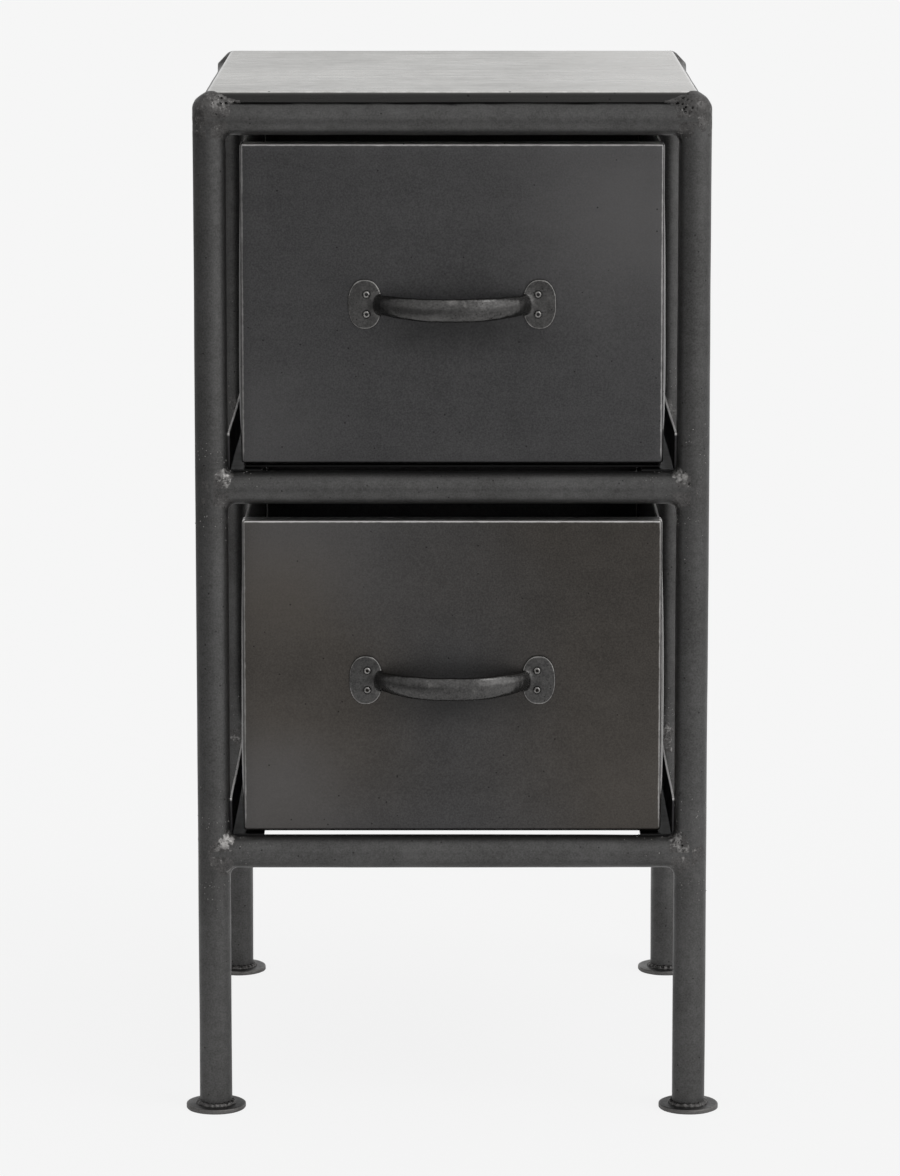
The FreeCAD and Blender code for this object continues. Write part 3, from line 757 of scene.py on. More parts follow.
@dataclass
class Effects:
    """Builds each shared effect once, as a node group."""

    groups: dict[Effect, bpy.types.NodeTree] = field(default_factory=dict)
    mottle_finer: float = 9.0
    fine_scale: float = 900.0
    broad_share: float = 0.65
    tone_gain: float = 3.0
    drift_scale: float = 0.13
    worn_and_sheen: tuple[float, float] = (0.45, 0.95)
    pit_edge: tuple[float, float] = (0.16, 0.3)
    tint_scale: float = 75.0
    tint_edge: tuple[float, float] = (0.35, 0.65)
    hue_scale: float = 120.0
    hue_edge: tuple[float, float] = (0.4, 0.6)
    tint_brown: tuple[float, float, float, float] = (0.085, 0.058, 0.045, 1)
    tint_purple: tuple[float, float, float, float] = (0.060, 0.048, 0.072, 1)

    def start(self, effect: Effect, inputs: dict[str, object], outputs: dict[str, str]) \
            -> tuple[Graph, bpy.types.Node, bpy.types.Node]:
        """Open a new group with its sockets.

        Args:
            effect: which one.
            inputs: names and default values.
            outputs: names and socket types.

        Returns:
            The graph, the group's input node and its output node.
        """
        tree = bpy.data.node_groups.new(effect.value, "ShaderNodeTree")
        for name, value in inputs.items():
            kind = "NodeSocketVector" if isinstance(value, tuple) else "NodeSocketFloat"
            tree.interface.new_socket(name=name, in_out="INPUT", socket_type=kind).default_value = value
        for name, kind in outputs.items():
            tree.interface.new_socket(name=name, in_out="OUTPUT", socket_type=kind)
        self.groups[effect] = tree
        graph = Graph(tree)
        return graph, graph.node("NodeGroupInput"), graph.node("NodeGroupOutput")

    def build(self) -> "Effects":
        """Make all the groups.

        Returns:
            This object.
        """
        self.patina()
        self.grain()
        self.wear_and_sheen()
        self.pits()
        self.heat()
        return self

    def patina(self) -> None:
        """Broad clouds and a fine mottle in the colour of the blackening."""
        graph, given, out = self.start(
            Effect.PATINA,
            {"Vector": (0.0, 0.0, 0.0), "Scale": 14.0, "Contrast": 1.0},
            {"Tone": "NodeSocketFloat", "Fine": "NodeSocketFloat"},
        )
        broad = graph.cloud(given.outputs["Vector"], given.outputs["Scale"], 5.0, 0.6)
        finer = graph.calc("MULTIPLY", given.outputs["Scale"], self.mottle_finer)
        small = graph.cloud(given.outputs["Vector"], finer, 3.0)
        fine = graph.cloud(given.outputs["Vector"], self.fine_scale, 3.0, 0.6)
        both = graph.calc("ADD", graph.calc("MULTIPLY", broad, self.broad_share),
                          graph.calc("MULTIPLY", small, 1 - self.broad_share))
        contrast = graph.swing(both, given.outputs["Contrast"])
        tone = graph.calc("ADD", graph.calc("MULTIPLY", contrast, self.tone_gain), 0.5, clamp=True)
        graph.feed(out.inputs["Tone"], tone)
        graph.feed(out.inputs["Fine"], fine)

    def grain(self) -> None:
        """Fine lines left by brushing, along the direction in which Stretch is smallest."""
        graph, given, out = self.start(
            Effect.GRAIN,
            {"Vector": (0.0, 0.0, 0.0), "Stretch": (1.0, 1.0, 1.0)},
            {"Lines": "NodeSocketFloat", "Drift": "NodeSocketFloat"},
        )
        place = graph.stretched(given.outputs["Vector"], given.outputs["Stretch"])
        lines = graph.cloud(place, 1.0, 5.0, 0.65)
        drift = graph.cloud(place, self.drift_scale, 2.0, 0.5)
        graph.feed(out.inputs["Lines"], lines)
        graph.feed(out.inputs["Drift"], drift)

    def wear_and_sheen(self) -> None:
        """Scuffed, brighter steel along edges, together with painted highlights and reflections where the mark holds
        them, broken up by noise.
        """
        graph, given, out = self.start(
            Effect.WEAR_AND_SHEEN,
            {"Vector": (0.0, 0.0, 0.0), "Amount": 1.0, "Scale": 160.0, "Ragged": 0.9},
            {"Mask": "NodeSocketFloat"},
        )
        ragged = graph.cloud(given.outputs["Vector"], given.outputs["Scale"], 5.0, 0.65)
        rough = graph.swing(ragged, given.outputs["Ragged"])
        shown = graph.range(graph.calc("ADD", graph.mark("wear_and_sheen"), rough), *self.worn_and_sheen)
        graph.feed(out.inputs["Mask"], graph.calc("MULTIPLY", shown, given.outputs["Amount"], clamp=True))

    def pits(self) -> None:
        """Small round pits and specks, scattered thinly."""
        graph, given, out = self.start(
            Effect.PITS,
            {"Vector": (0.0, 0.0, 0.0), "Scale": 260.0, "Share": 0.08},
            {"Mask": "NodeSocketFloat"},
        )
        cells = graph.node("ShaderNodeTexVoronoi", feature="F1")
        graph.feed(cells.inputs["Vector"], given.outputs["Vector"])
        graph.feed(cells.inputs["Scale"], given.outputs["Scale"])
        spot = graph.range(cells.outputs["Distance"], *self.pit_edge, 1.0, 0.0)
        split = graph.node("ShaderNodeSeparateColor")
        graph.feed(split.inputs[0], cells.outputs["Color"])
        kept = graph.calc("LESS_THAN", split.outputs[0], given.outputs["Share"])
        graph.feed(out.inputs["Mask"], graph.calc("MULTIPLY", spot, kept))

    def heat(self) -> None:
        """Brown to purple tint where welding has heated the steel."""
        graph, given, out = self.start(
            Effect.HEAT,
            {"Vector": (0.0, 0.0, 0.0), "Amount": 1.0},
            {"Mask": "NodeSocketFloat", "Color": "NodeSocketColor"},
        )
        patchy = graph.cloud(given.outputs["Vector"], self.tint_scale, 4.0, 0.6)
        strength = graph.calc("MULTIPLY", graph.mark("heat"), graph.range(patchy, *self.tint_edge))
        graph.feed(out.inputs["Mask"], graph.calc("MULTIPLY", strength, given.outputs["Amount"], clamp=True))
        hue = graph.range(graph.cloud(given.outputs["Vector"], self.hue_scale, 2.0), *self.hue_edge)
        graph.feed(out.inputs["Color"], graph.blend(hue, self.tint_brown, self.tint_purple))


@dataclass(frozen=True)
class Finish:
    """One steel finish, with its own values for the shared effects."""

    name: str
    dark: Triple
    light: Triple
    # the colour of scuffed steel, also used for painted highlights and reflections along some folds and edges
    worn_and_sheen: Triple
    smooth: float
    rough: float
    scale: float = 14.0
    contrast: float = 1.0
    stretch: Triple = (300.0, 300.0, 300.0)
    lines: float = 0.15
    line_bump: float = 0.2
    wear_and_sheen: float = 0.7
    ragged: float = 0.7
    wear_scale: float = 160.0
    pits: float = 0.05
    pit_scale: float = 260.0
    heat: float = 0.0
    relief: float = 0.00004
    # the colour of the black mark: painted shade in gaps, under the handle, on the lid's lip, on the runners' ledges
    # and in rivet bores, and dark joints and pinholes
    black: Triple = (0.045, 0.044, 0.043)
    brown: Triple = (0.93, 0.86, 0.77)
    # the colour of the pale mark: paler patina, and painted light
    pale: Triple = (0.125, 0.122, 0.122)
    speckle: float = 1.0
    pit_colour: Triple = (0.012, 0.011, 0.011)
    pit_share: float = 0.7
    pit_depth: float = 1.5
    worn_gloss: float = 0.08
    fine_height: float = 0.5
    streak_gain: float = 4.0
    drift_gain: float = 3.0
    speck_gain: float = 2.0

    def build(self, effects: Effects) -> bpy.types.Material:
        """Make the material.

        Args:
            effects: the shared node groups.

        Returns:
            The material.
        """
        material = bpy.data.materials.new(self.name)
        material.use_nodes = True
        material.node_tree.nodes.clear()
        graph = Graph(material.node_tree)
        place = graph.node("ShaderNodeTexCoord").outputs["Object"]

        def use(effect: Effect, **values: object) -> bpy.types.Node:
            """Place a shared effect in this material, with its own values.

            Args:
                effect: which one.
                values: for its inputs.

            Returns:
                The group's node.
            """
            made = graph.node("ShaderNodeGroup", node_tree=effects.groups[effect])
            graph.feed(made.inputs["Vector"], place)
            for name, value in values.items():
                graph.feed(made.inputs[name], value)
            return made

        patina = use(Effect.PATINA, Scale=self.scale, Contrast=self.contrast)
        grain = use(Effect.GRAIN, Stretch=self.stretch)
        wear_and_sheen = use(Effect.WEAR_AND_SHEEN, Amount=self.wear_and_sheen, Ragged=self.ragged, Scale=self.wear_scale)
        pits = use(Effect.PITS, Scale=self.pit_scale, Share=self.pits)
        tint = use(Effect.HEAT, Amount=self.heat)

        streak = graph.swing(grain.outputs["Lines"], self.lines * self.streak_gain)
        drift = graph.swing(grain.outputs["Drift"], self.lines * self.drift_gain)
        speck = graph.swing(patina.outputs["Fine"], self.speckle * self.speck_gain)
        tone = graph.calc("ADD", graph.calc("ADD", patina.outputs["Tone"], speck), graph.calc("ADD", streak, drift),
                          clamp=True)
        colour = graph.blend(tone, (*self.dark, 1), (*self.light, 1))
        # the pale and black marks carry paler patina and painted light, and painted shade together with dark joints and
        # pinholes
        colour = graph.blend(graph.mark("pale"), colour, (*self.pale, 1))
        colour = graph.blend(graph.mark("warm"), colour, (*self.brown, 1), "MULTIPLY")
        colour = graph.blend(graph.mark("black"), colour, (*self.black, 1))
        colour = graph.blend(tint.outputs["Mask"], colour, tint.outputs["Color"])
        colour = graph.blend(wear_and_sheen.outputs["Mask"], colour, (*self.worn_and_sheen, 1))
        colour = graph.blend(graph.calc("MULTIPLY", pits.outputs["Mask"], self.pit_share), colour,
                             (*self.pit_colour, 1))

        gloss = graph.range(graph.calc("ADD", patina.outputs["Tone"], streak), 0.0, 1.0, self.rough, self.smooth)
        gloss = graph.calc("SUBTRACT", gloss, graph.calc("MULTIPLY", wear_and_sheen.outputs["Mask"], self.worn_gloss))

        height = graph.calc("MULTIPLY", patina.outputs["Fine"], self.fine_height)
        ridges = graph.calc("MULTIPLY", grain.outputs["Lines"], self.line_bump * self.streak_gain)
        height = graph.calc("ADD", height, ridges)
        height = graph.calc("SUBTRACT", height, graph.calc("MULTIPLY", pits.outputs["Mask"], self.pit_depth))
        bump = graph.node("ShaderNodeBump")
        bump.inputs["Strength"].default_value = 1.0
        bump.inputs["Distance"].default_value = self.relief
        graph.feed(bump.inputs["Height"], height)

        shader = graph.node("ShaderNodeBsdfPrincipled")
        shader.inputs["Metallic"].default_value = 1.0
        graph.feed(shader.inputs["Base Color"], colour)
        graph.feed(shader.inputs["Roughness"], gloss)
        graph.feed(shader.inputs["Normal"], bump.outputs["Normal"])
        out = graph.node("ShaderNodeOutputMaterial")
        graph.feed(out.inputs["Surface"], shader.outputs["BSDF"])
        return material


FINISHES = {
    Slot.FRAME: Finish("blackened_tube", (0.056, 0.055, 0.054), (0.098, 0.097, 0.096), (0.24, 0.235, 0.23),
                       0.36, 0.46, scale=22, contrast=0.7, stretch=(90, 90, 500), lines=0.10, line_bump=0.3,
                       heat=0.45, pits=0.03, pit_scale=420, relief=0.00005, black=(0.004, 0.004, 0.004)),
    Slot.FOOT: Finish("blackened_disc", (0.050, 0.049, 0.049), (0.11, 0.108, 0.107), (0.26, 0.25, 0.24),
                      0.38, 0.52, scale=30, pits=0.08, pit_scale=420, wear_and_sheen=0.25),
    Slot.WELD: Finish("ground_weld", (0.054, 0.052, 0.051), (0.105, 0.102, 0.100), (0.40, 0.39, 0.38),
                      0.30, 0.46, scale=70, contrast=0.8, stretch=(520, 180, 360), lines=0.28, line_bump=0.5,
                      wear_and_sheen=0.55, ragged=1.9, wear_scale=480, heat=0.55, pits=0.2, pit_scale=620, relief=0.0001,
                      black=(0.006, 0.006, 0.006)),
    Slot.TOP: Finish("burnished_lid", (0.29, 0.285, 0.270), (0.50, 0.493, 0.470), (0.80, 0.79, 0.78),
                     0.24, 0.34, scale=9, contrast=0.8, stretch=(24, 620, 620), lines=0.30, line_bump=0.5,
                     wear_and_sheen=0.85, pale=(0.56, 0.55, 0.53), pits=0.03, pit_scale=300, relief=0.00005, speckle=0.6),
    Slot.RUNNER: Finish("mill_sheet", (0.024, 0.024, 0.025), (0.055, 0.054, 0.054), (0.50, 0.49, 0.48),
                        0.34, 0.50, scale=12, wear_and_sheen=1.0, black=(0.010, 0.010, 0.010)),
    Slot.DRAWER: Finish("blackened_sheet", (0.045, 0.0445, 0.0455), (0.080, 0.079, 0.080), (0.62, 0.61, 0.60),
                        0.36, 0.48, scale=5, contrast=0.55, stretch=(60, 420, 420), lines=0.08, line_bump=0.15,
                        wear_and_sheen=0.95, ragged=0.5, pits=0.012, pit_scale=420, relief=0.00003,
                        black=(0.014, 0.014, 0.014)),
    Slot.HANDLE: Finish("forged_iron", (0.046, 0.045, 0.0445), (0.105, 0.103, 0.101), (0.34, 0.33, 0.32),
                        0.18, 0.30, scale=45, contrast=0.7, stretch=(160, 420, 420), lines=0.12, wear_and_sheen=0.6,
                        ragged=1.2, pits=0.05, pit_scale=520, black=(0.008, 0.008, 0.008)),
    Slot.RIVET: Finish("rivet_steel", (0.050, 0.049, 0.048), (0.12, 0.118, 0.115), (0.34, 0.33, 0.32),
                       0.24, 0.38, scale=120, black=(0.004, 0.004, 0.004)),
}


# ---------------------------------------------------------------- sub-assemblies

@dataclass
class Workshop:
    """What every sub-assembly is given: the finishes and the heated places."""

    materials: dict[Slot, bpy.types.Material]
    joints: Joints

    def piece(self, name: str, points: Array, faces: Loops, slot: Slot,
              body: Body = Body.FRAME, **more: object) -> bpy.types.Object:
        """Build one piece with its finish and heat marks.

        Args:
            name: of the piece.
            points: its points.
            faces: its faces.
            slot: its finish.
            body: what it rides on.
            more: other fields of Piece.

        Returns:
            The finished object.
        """
        marks = dict(more.pop("marks", {}))
        marks.setdefault("heat", self.joints.heat(points) if body is Body.FRAME else np.zeros(len(points)))
        marks.setdefault("wear_and_sheen", np.zeros(len(points)))
        return Piece(name, points, faces, body, slot, self.materials[slot], marks=marks, **more).build()


@dataclass
class TubeFrame:
    """Legs, rails and feet."""

    shop: Workshop
    ring_step: float = 4 * MM
    uneven: float = 0.16 * MM
    uneven_size: float = 60 * MM
    end_inset: float = 4 * MM
    # painted shade in the gap under the lid: how far below the lid it starts, how ragged its edge is and how large that
    # raggedness is
    leg_cut: float = 1.9
    gap_shade_drop: float = 1.3 * MM
    gap_shade_edge: float = 0.5 * MM
    gap_shade_size: float = 12 * MM
    foot_edge: float = 0.8 * MM
    foot_sides: int = 72
    foot_uneven: float = 0.012
    foot_uneven_size: float = 9 * MM

    def tube(self, name: str, start: Array, end: Array, radius: float, seed: int, shaded: float = ABOVE_ALL) -> None:
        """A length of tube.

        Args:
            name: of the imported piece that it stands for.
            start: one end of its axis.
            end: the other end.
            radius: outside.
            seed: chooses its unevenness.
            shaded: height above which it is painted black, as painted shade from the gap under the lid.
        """
        length = float(np.linalg.norm(end - start))
        stations = np.linspace(0, length, max(2, int(length / self.ring_step)))
        profile = [(0.0, 0.0), *((station, radius) for station in stations), (length, 0.0)]
        points, faces = turned(profile, start, end - start)
        swell = noise(points, self.uneven_size, seed, 2) * self.uneven
        points = points + normals_of(points, faces) * swell[:, None]
        # painted shade: above the given height the tube is painted black, standing in for the shade in the gap under
        # the lid
        ragged = self.gap_shade_edge * noise(points, self.gap_shade_size, seed + 1, 2)
        black = np.clip((points[:, 2] + ragged - shaded) / self.gap_shade_edge, 0, 1)
        self.shop.piece(name + "_tube", points, faces, Slot.FRAME, replaces=(name,), crisp=50,
                        marks={"black": black})

    def build(self) -> None:
        """Make the legs, the rails and the feet."""
        seeds = count(1, 3)
        for end, side in product(ENDS, SIDES):
            self.leg(f"{end}_{side}", next(seeds))
        for end, level in product(ENDS, LEVELS):
            self.rail(f"{end}_{level}_rail", 0, next(seeds))
        for side in SIDES:
            self.rail(f"{side}_top_rail", 1, next(seeds))

    def leg(self, where: str, seed: int) -> None:
        """A leg and its foot; the leg's top is part of its corner weld.

        Args:
            where: the end and the side that it stands at.
            seed: chooses its unevenness.
        """
        name = f"{where}_leg"
        low, high = extent(name)
        x, y, _ = centre_of(name)
        radius = (high[0] - low[0]) / 2
        self.tube(name, np.array((x, y, low[2])), np.array((x, y, high[2] - self.leg_cut * radius)), radius, seed)
        self.foot(f"{where}_foot", seed)

    def rail(self, name: str, axis: int, seed: int) -> None:
        """A rail between two legs.

        Args:
            name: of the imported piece.
            axis: along which it lies, 0 for X and 1 for Y.
            seed: chooses its unevenness.
        """
        low, high = extent(name)
        start, end = centre_of(name), centre_of(name)
        start[axis] = low[axis] - self.end_inset
        end[axis] = high[axis] + self.end_inset
        # the front and rear rails get painted shade just under the lid, in the gap between lid and rail
        gap_shade_top = extent("top_plate")[0][2] - self.gap_shade_drop if axis == 0 else ABOVE_ALL
        self.tube(name, start, end, (high[2] - low[2]) / 2, seed, gap_shade_top)

    def foot(self, name: str, seed: int) -> None:
        """A disc foot with a rounded upper edge.

        Args:
            name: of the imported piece.
            seed: chooses its unevenness.
        """
        low, high = extent(name)
        radius, height = (high[0] - low[0]) / 2, high[2] - low[2]
        edge = self.foot_edge
        profile = [(0, 0), (0, radius * 0.5), (0, radius - edge * 0.4), (edge * 0.4, radius)]
        profile += [(height - edge + edge * math.sin(a), radius - edge + edge * math.cos(a))
                    for a in np.linspace(0, math.pi / 2, BEND_POINTS)]
        profile += [(height, radius * 0.8), (height, radius * 0.5), (height, 0)]
        middle = (low + high) / 2
        points, faces = turned(profile, (middle[0], middle[1], low[2]), (0, 0, 1), self.foot_sides)
        inward = middle[:2] - points[:, :2]
        dent = self.foot_uneven * (1 + noise(points, self.foot_uneven_size, seed + 40))
        points[:, :2] += inward * dent[:, None]
        rim = np.clip((np.linalg.norm(inward, axis=1) - radius * 0.9) / (radius * 0.08), 0, 1)
        self.shop.piece(name + "_disc", points, faces, Slot.FOOT, replaces=(name,), marks={"wear_and_sheen": rim})


@dataclass
class Welds:
    """The weld metal where tubes, lid, feet and runners meet."""

    shop: Workshop
    cell: float = 0.85 * MM
    fine_cell: float = 0.62 * MM
    rail_cell: float = 0.7 * MM
    tack_cell: float = 0.6 * MM
    flow: float = 2.6 * MM
    corner_flow: float = 1.7 * MM
    sunk: float = 0.35 * MM
    lump: float = 0.5 * MM
    lump_size: float = 5 * MM
    reach: float = 21 * MM
    corner_reach: float = 2 * MM
    start_in: float = 8 * MM
    leg_part: float = 0.1
    rear_slope: float = 1.05
    margin: float = 0.05 * MM
    pin_spacing: float = 2.9 * MM
    pin_spread: float = 8.5 * MM
    hot_spread: float = 6 * MM
    bead_rings: int = 4
    bead_sides: int = 8
    bead_size: tuple[float, float] = (0.22, 0.55)
    bead_height: float = 0.7
    bead_wear: float = 0.75
    foot_bead: float = 2.5 * MM
    hot_place: Triple = (9 * MM, 8 * MM, 7 * MM)
    corner_hot_place: Triple = (11 * MM, 9 * MM, 9 * MM)
    pin_depth: float = 0.6 * MM
    corner_pin_depth: float = 0.9 * MM
    corner_proud: float = 0.02 * MM

    @property
    def limits(self) -> Array:
        """How far out the welds may reach.

        Returns:
            The two distances from the middle, along X and Y.
        """
        edge, far = extent("front_left_leg")[0], extent("rear_right_leg")[1]
        return np.minimum(np.abs(edge[:2]), np.abs(far[:2])) - self.margin

    @property
    def lid_half(self) -> float:
        """Half the lid's width."""
        return float(extent("top_plate")[1][0])

    def solid(self, parts: Callable[[Array], list[Array]], centre: Array, reach: float, seed: int,
              ceiling: float = ABOVE_ALL, flow: Optional[float] = None, pitted: float = 0.0,
              pit_at: Optional[Array] = None, proud: float = 0.35 * MM, slope: float = 0.0) -> Field:
        """The field of one weld.

        Args:
            parts: gives the distances to the parts that it joins.
            centre: of the weld.
            reach: radius of the ball that holds it.
            seed: chooses its lumps.
            ceiling: height above which it has been ground away.
            flow: how far the metal has flowed, where not as usual.
            pitted: depth of its pinholes.
            pit_at: middle of the place that has them.
            proud: how far its middle is ground down below the flow.
            slope: fall of the ground top, outside the lid.

        Returns:
            The field.
        """
        flow = flow or self.flow
        fade_from, fade_width, skin_deep, strength, calmed = 0.62, 0.3, 2.5 * MM, 0.6, 0.75

        def gap(points: Array) -> Array:
            """The distance to the weld.

            Args:
                points: places in metres, one row each.

            Returns:
                Distances, negative inside.
            """
            gone = np.linalg.norm(points - centre, axis=1)
            share = np.clip((gone / reach - fade_from) / fade_width, 0, 1)
            value = melted(parts(points), flow) + self.sunk * share + (1 - share) * proud
            near = np.abs(value) < skin_deep
            spots = points[near]
            lumps = noise(spots, self.lump_size, seed, 3) * self.lump * strength
            value[near] += lumps * (1 - calmed * share[near])
            if pitted:
                value[near] += self.pinholes(spots, seed, (pit_at,)) * pitted
            value = np.maximum(value, gone - reach)
            value = np.maximum(value, (np.abs(points[:, :2]) - self.limits).max(axis=1))
            fall = slope * np.clip(np.abs(points[:, 0]) - self.lid_half, 0, None)
            return np.maximum(value, (points[:, 2] - ceiling + fall) / math.hypot(1, slope))

        return gap

    def pinholes(self, spots: Array, seed: int, middles: Sequence[Array]) -> Array:
        """Gas holes in a weld that has been ground off.

        Args:
            spots: places in metres, one row each.
            seed: chooses where the holes are.
            middles: of the places that have them.

        Returns:
            1 in the middle of a hole, 0 outside all of them.
        """
        gaps = np.stack([np.linalg.norm(spots - middle, axis=1) for middle in middles]).min(axis=0)
        rim, steepness, plenty = 0.84, 10, 2.2
        deep = np.clip((hollows(spots, self.pin_spacing, seed + 9) - rim) * steepness, 0, 1)
        return deep * np.clip(plenty * fading(gaps, self.pin_spread), 0, 1)

    def spatter(self, bars: Sequence[tuple[Array, Array, float]], seed: int, count: int = 24) \
            -> tuple[Array, Array]:
        """Small beads of metal thrown onto the tubes near a weld.

        Args:
            bars: for each tube, the weld's middle, the direction away from it and the tube's radius.
            seed: chooses where the beads are.
            count: how many beads each tube has.

        Returns:
            The points, and the quads as rows of four point numbers.
        """
        draw = np.random.default_rng(seed)
        points, faces = [], []
        rings, sides = self.bead_rings, self.bead_sides
        typical, nearer, sideways = 9 * MM, 4 * MM, 0.9
        for middle, along, radius in bars:
            up = np.array((0.0, -1.0, 0.0)) if abs(along[2]) > 0.5 else np.array((0.0, 0.0, 1.0))
            across = np.cross(along, up)
            for _ in range(count):
                away = self.reach + draw.exponential(typical) - nearer
                angle = draw.normal(0, sideways)
                size = draw.uniform(*self.bead_size) * MM
                out = up * math.cos(angle) + across * math.sin(angle)
                root = middle + along * away + out * radius
                side = np.cross(along, out)
                start = len(points)
                for ring in range(rings + 1):
                    tilt = math.pi * ring / rings
                    for k in range(sides):
                        turn = 2 * math.pi * k / sides
                        flat = along * math.cos(turn) + side * math.sin(turn)
                        rise = self.bead_height * out * math.cos(tilt)
                        points.append(root + size * (flat * math.sin(tilt) + rise))
                faces += [[start + ring * sides + k, start + (ring + 1) * sides + k,
                           start + (ring + 1) * sides + (k + 1) % sides, start + ring * sides + (k + 1) % sides]
                          for ring in range(rings) for k in range(sides)]
        return np.array(points), np.array(faces)

    def mesh(self, name: str, solids: Sequence[tuple[Field, Array, float]], cell: float,
             replaces: tuple[str, ...] = (), wear_and_sheen: float = 0.25, extra: Optional[tuple[Array, Array]] = None,
             pit_seed: int = 0, hot: Sequence[Array] = (), heat: float = 0.6) -> None:
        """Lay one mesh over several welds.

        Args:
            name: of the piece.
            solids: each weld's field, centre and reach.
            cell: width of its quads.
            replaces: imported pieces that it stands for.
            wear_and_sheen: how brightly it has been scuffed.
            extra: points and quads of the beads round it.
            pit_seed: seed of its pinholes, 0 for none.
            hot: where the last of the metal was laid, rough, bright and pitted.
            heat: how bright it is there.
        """
        meshes = [skins([(gap, centre, reach + 2 * cell) for gap, centre, reach in solids], cell)]
        points, faces = joined(meshes + [extra] if extra else meshes)
        mottle = 0.3 * noise(points, 6 * MM, 77) + 0.35 * noise(points, 1.6 * MM, 78, 2)
        marks = {"wear_and_sheen": wear_and_sheen + mottle}
        for spot in hot:
            marks["wear_and_sheen"] += heat * fading(np.linalg.norm(points - spot, axis=1), self.hot_spread)
        if extra:
            marks["wear_and_sheen"][-len(extra[0]):] = self.bead_wear
        if pit_seed:
            marks["black"] = self.pinholes(points, pit_seed, hot)
        self.shop.piece(name, points, faces, Slot.WELD, replaces=replaces, marks=marks, crisp=60)

    def build(self) -> None:
        """Make all the welds."""
        self.rail_welds("front", 100)
        self.rail_welds("rear", 200)
        self.top_corners(300)
        self.foot_rings(400)
        self.runner_tacks(500)

    def rail_welds(self, end: str, seed: int) -> None:
        """Welds of the middle and bottom rails at one end of the frame.

        Args:
            end: front or rear.
            seed: chooses their lumps.
        """
        solids, bars, hot = [], [], []
        out = -1 if end == "front" else 1
        up = np.array((0.0, 0.0, 1.0))
        for side, level in product(SIDES, LEVELS[1:]):
            low, high = extent(f"{end}_{level}_rail")
            radius = (high[2] - low[2]) / 2
            centre = joint_at(end, side, level)

            def parts(points: Array, at: Array = centre, r: float = radius) -> list[Array]:
                """The distances to the leg and the rail.

                Args:
                    points: places in metres, one row each.
                    at: where their axes cross.
                    r: radius of both.

                Returns:
                    Distances to each, negative inside.
                """
                begin = (at[0] - math.copysign(self.start_in, at[0]), at[1], at[2])
                half_leg = (0, 0, self.leg_part)
                return [capsule(points, at - half_leg, at + half_leg, r),
                        capsule(points, begin, (0, at[1], at[2]), r)]

            inward = np.array((-math.copysign(1, centre[0]), 0.0, 0.0))
            beside, before, above = self.hot_place
            hot.append(centre + inward * beside + np.array((0, out * before, above)))
            bars += [(centre, along, radius) for along in (inward, up, -up)]
            gap = self.solid(parts, centre, self.reach, seed, pitted=self.pin_depth, pit_at=hot[-1])
            solids.append((gap, centre, self.reach))
        self.mesh(f"{end}_welds", solids, self.rail_cell, (f"{end}_weld_beads",),
                  extra=self.spatter(bars, seed + 28), pit_seed=seed, hot=hot)

    def top_corners(self, seed: int) -> None:
        """The four ground corners where leg, top rails and lid run together.

        Args:
            seed: chooses their lumps.
        """
        lid_low, lid_high = extent("top_plate")
        lid_middle, lid_half = (lid_low + lid_high) / 2, (lid_high - lid_low) / 2
        inner = lid_middle[1]
        for end, side in product(ENDS, SIDES):
            leg_low, leg_high = extent(f"{end}_{side}_leg")
            radius = (leg_high[0] - leg_low[0]) / 2
            centre = joint_at(end, side, "top")

            def parts(points: Array, at: Array = centre, r: float = radius,
                      top: float = leg_high[2] - radius) -> list[Array]:
                """The distances to the leg, both rails and the lid.

                Args:
                    points: places in metres, one row each.
                    at: where the axes cross.
                    r: radius of the leg and the rails.
                    top: height of the middle of the leg's round top.

                Returns:
                    Distances to each, negative inside.
                """
                across = (at[0] - math.copysign(self.start_in, at[0]), at[1], at[2])
                along = (at[0], at[1] - math.copysign(self.start_in, at[1] - inner), at[2])
                return [
                    capsule(points, at - (0, 0, self.leg_part), (at[0], at[1], top), r),
                    capsule(points, across, (0, at[1], at[2]), r),
                    capsule(points, along, (at[0], inner, at[2]), r),
                    block(points, lid_middle - (0, 0, 0.5 * MM), lid_half - 0.3 * MM, 2.4 * MM),
                ]

            front = end == "front"
            reach = self.reach + self.corner_reach
            beside, before, above = self.corner_hot_place
            hot = centre + np.array((-math.copysign(beside, centre[0]), -before if front else before, above))
            gap = self.solid(parts, centre, reach, seed, ceiling=lid_high[2] - self.margin, flow=self.corner_flow,
                             pitted=self.corner_pin_depth, pit_at=hot, proud=self.corner_proud,
                             slope=0.0 if front else self.rear_slope)
            stands_for = ("side_weld_beads",) if (end, side) == ("front", "left") else ()
            self.mesh(f"{end}_{side}_corner_weld", [(gap, centre, reach)], self.fine_cell if front else self.cell,
                      stands_for, wear_and_sheen=0.22, pit_seed=seed, hot=(hot,), heat=0.3)
            seed += 11

    def foot_rings(self, seed: int) -> None:
        """Lumpy rings of weld round the legs, on the feet.

        Args:
            seed: chooses their lumps.
        """
        solids = []
        for end, side in product(ENDS, SIDES):
            low, high = extent(f"{end}_{side}_foot")
            leg_low, leg_high = extent(f"{end}_{side}_leg")
            radius = (leg_high[0] - leg_low[0]) / 2
            centre = np.array(((low + high)[0] / 2, (low + high)[1] / 2, high[2]))

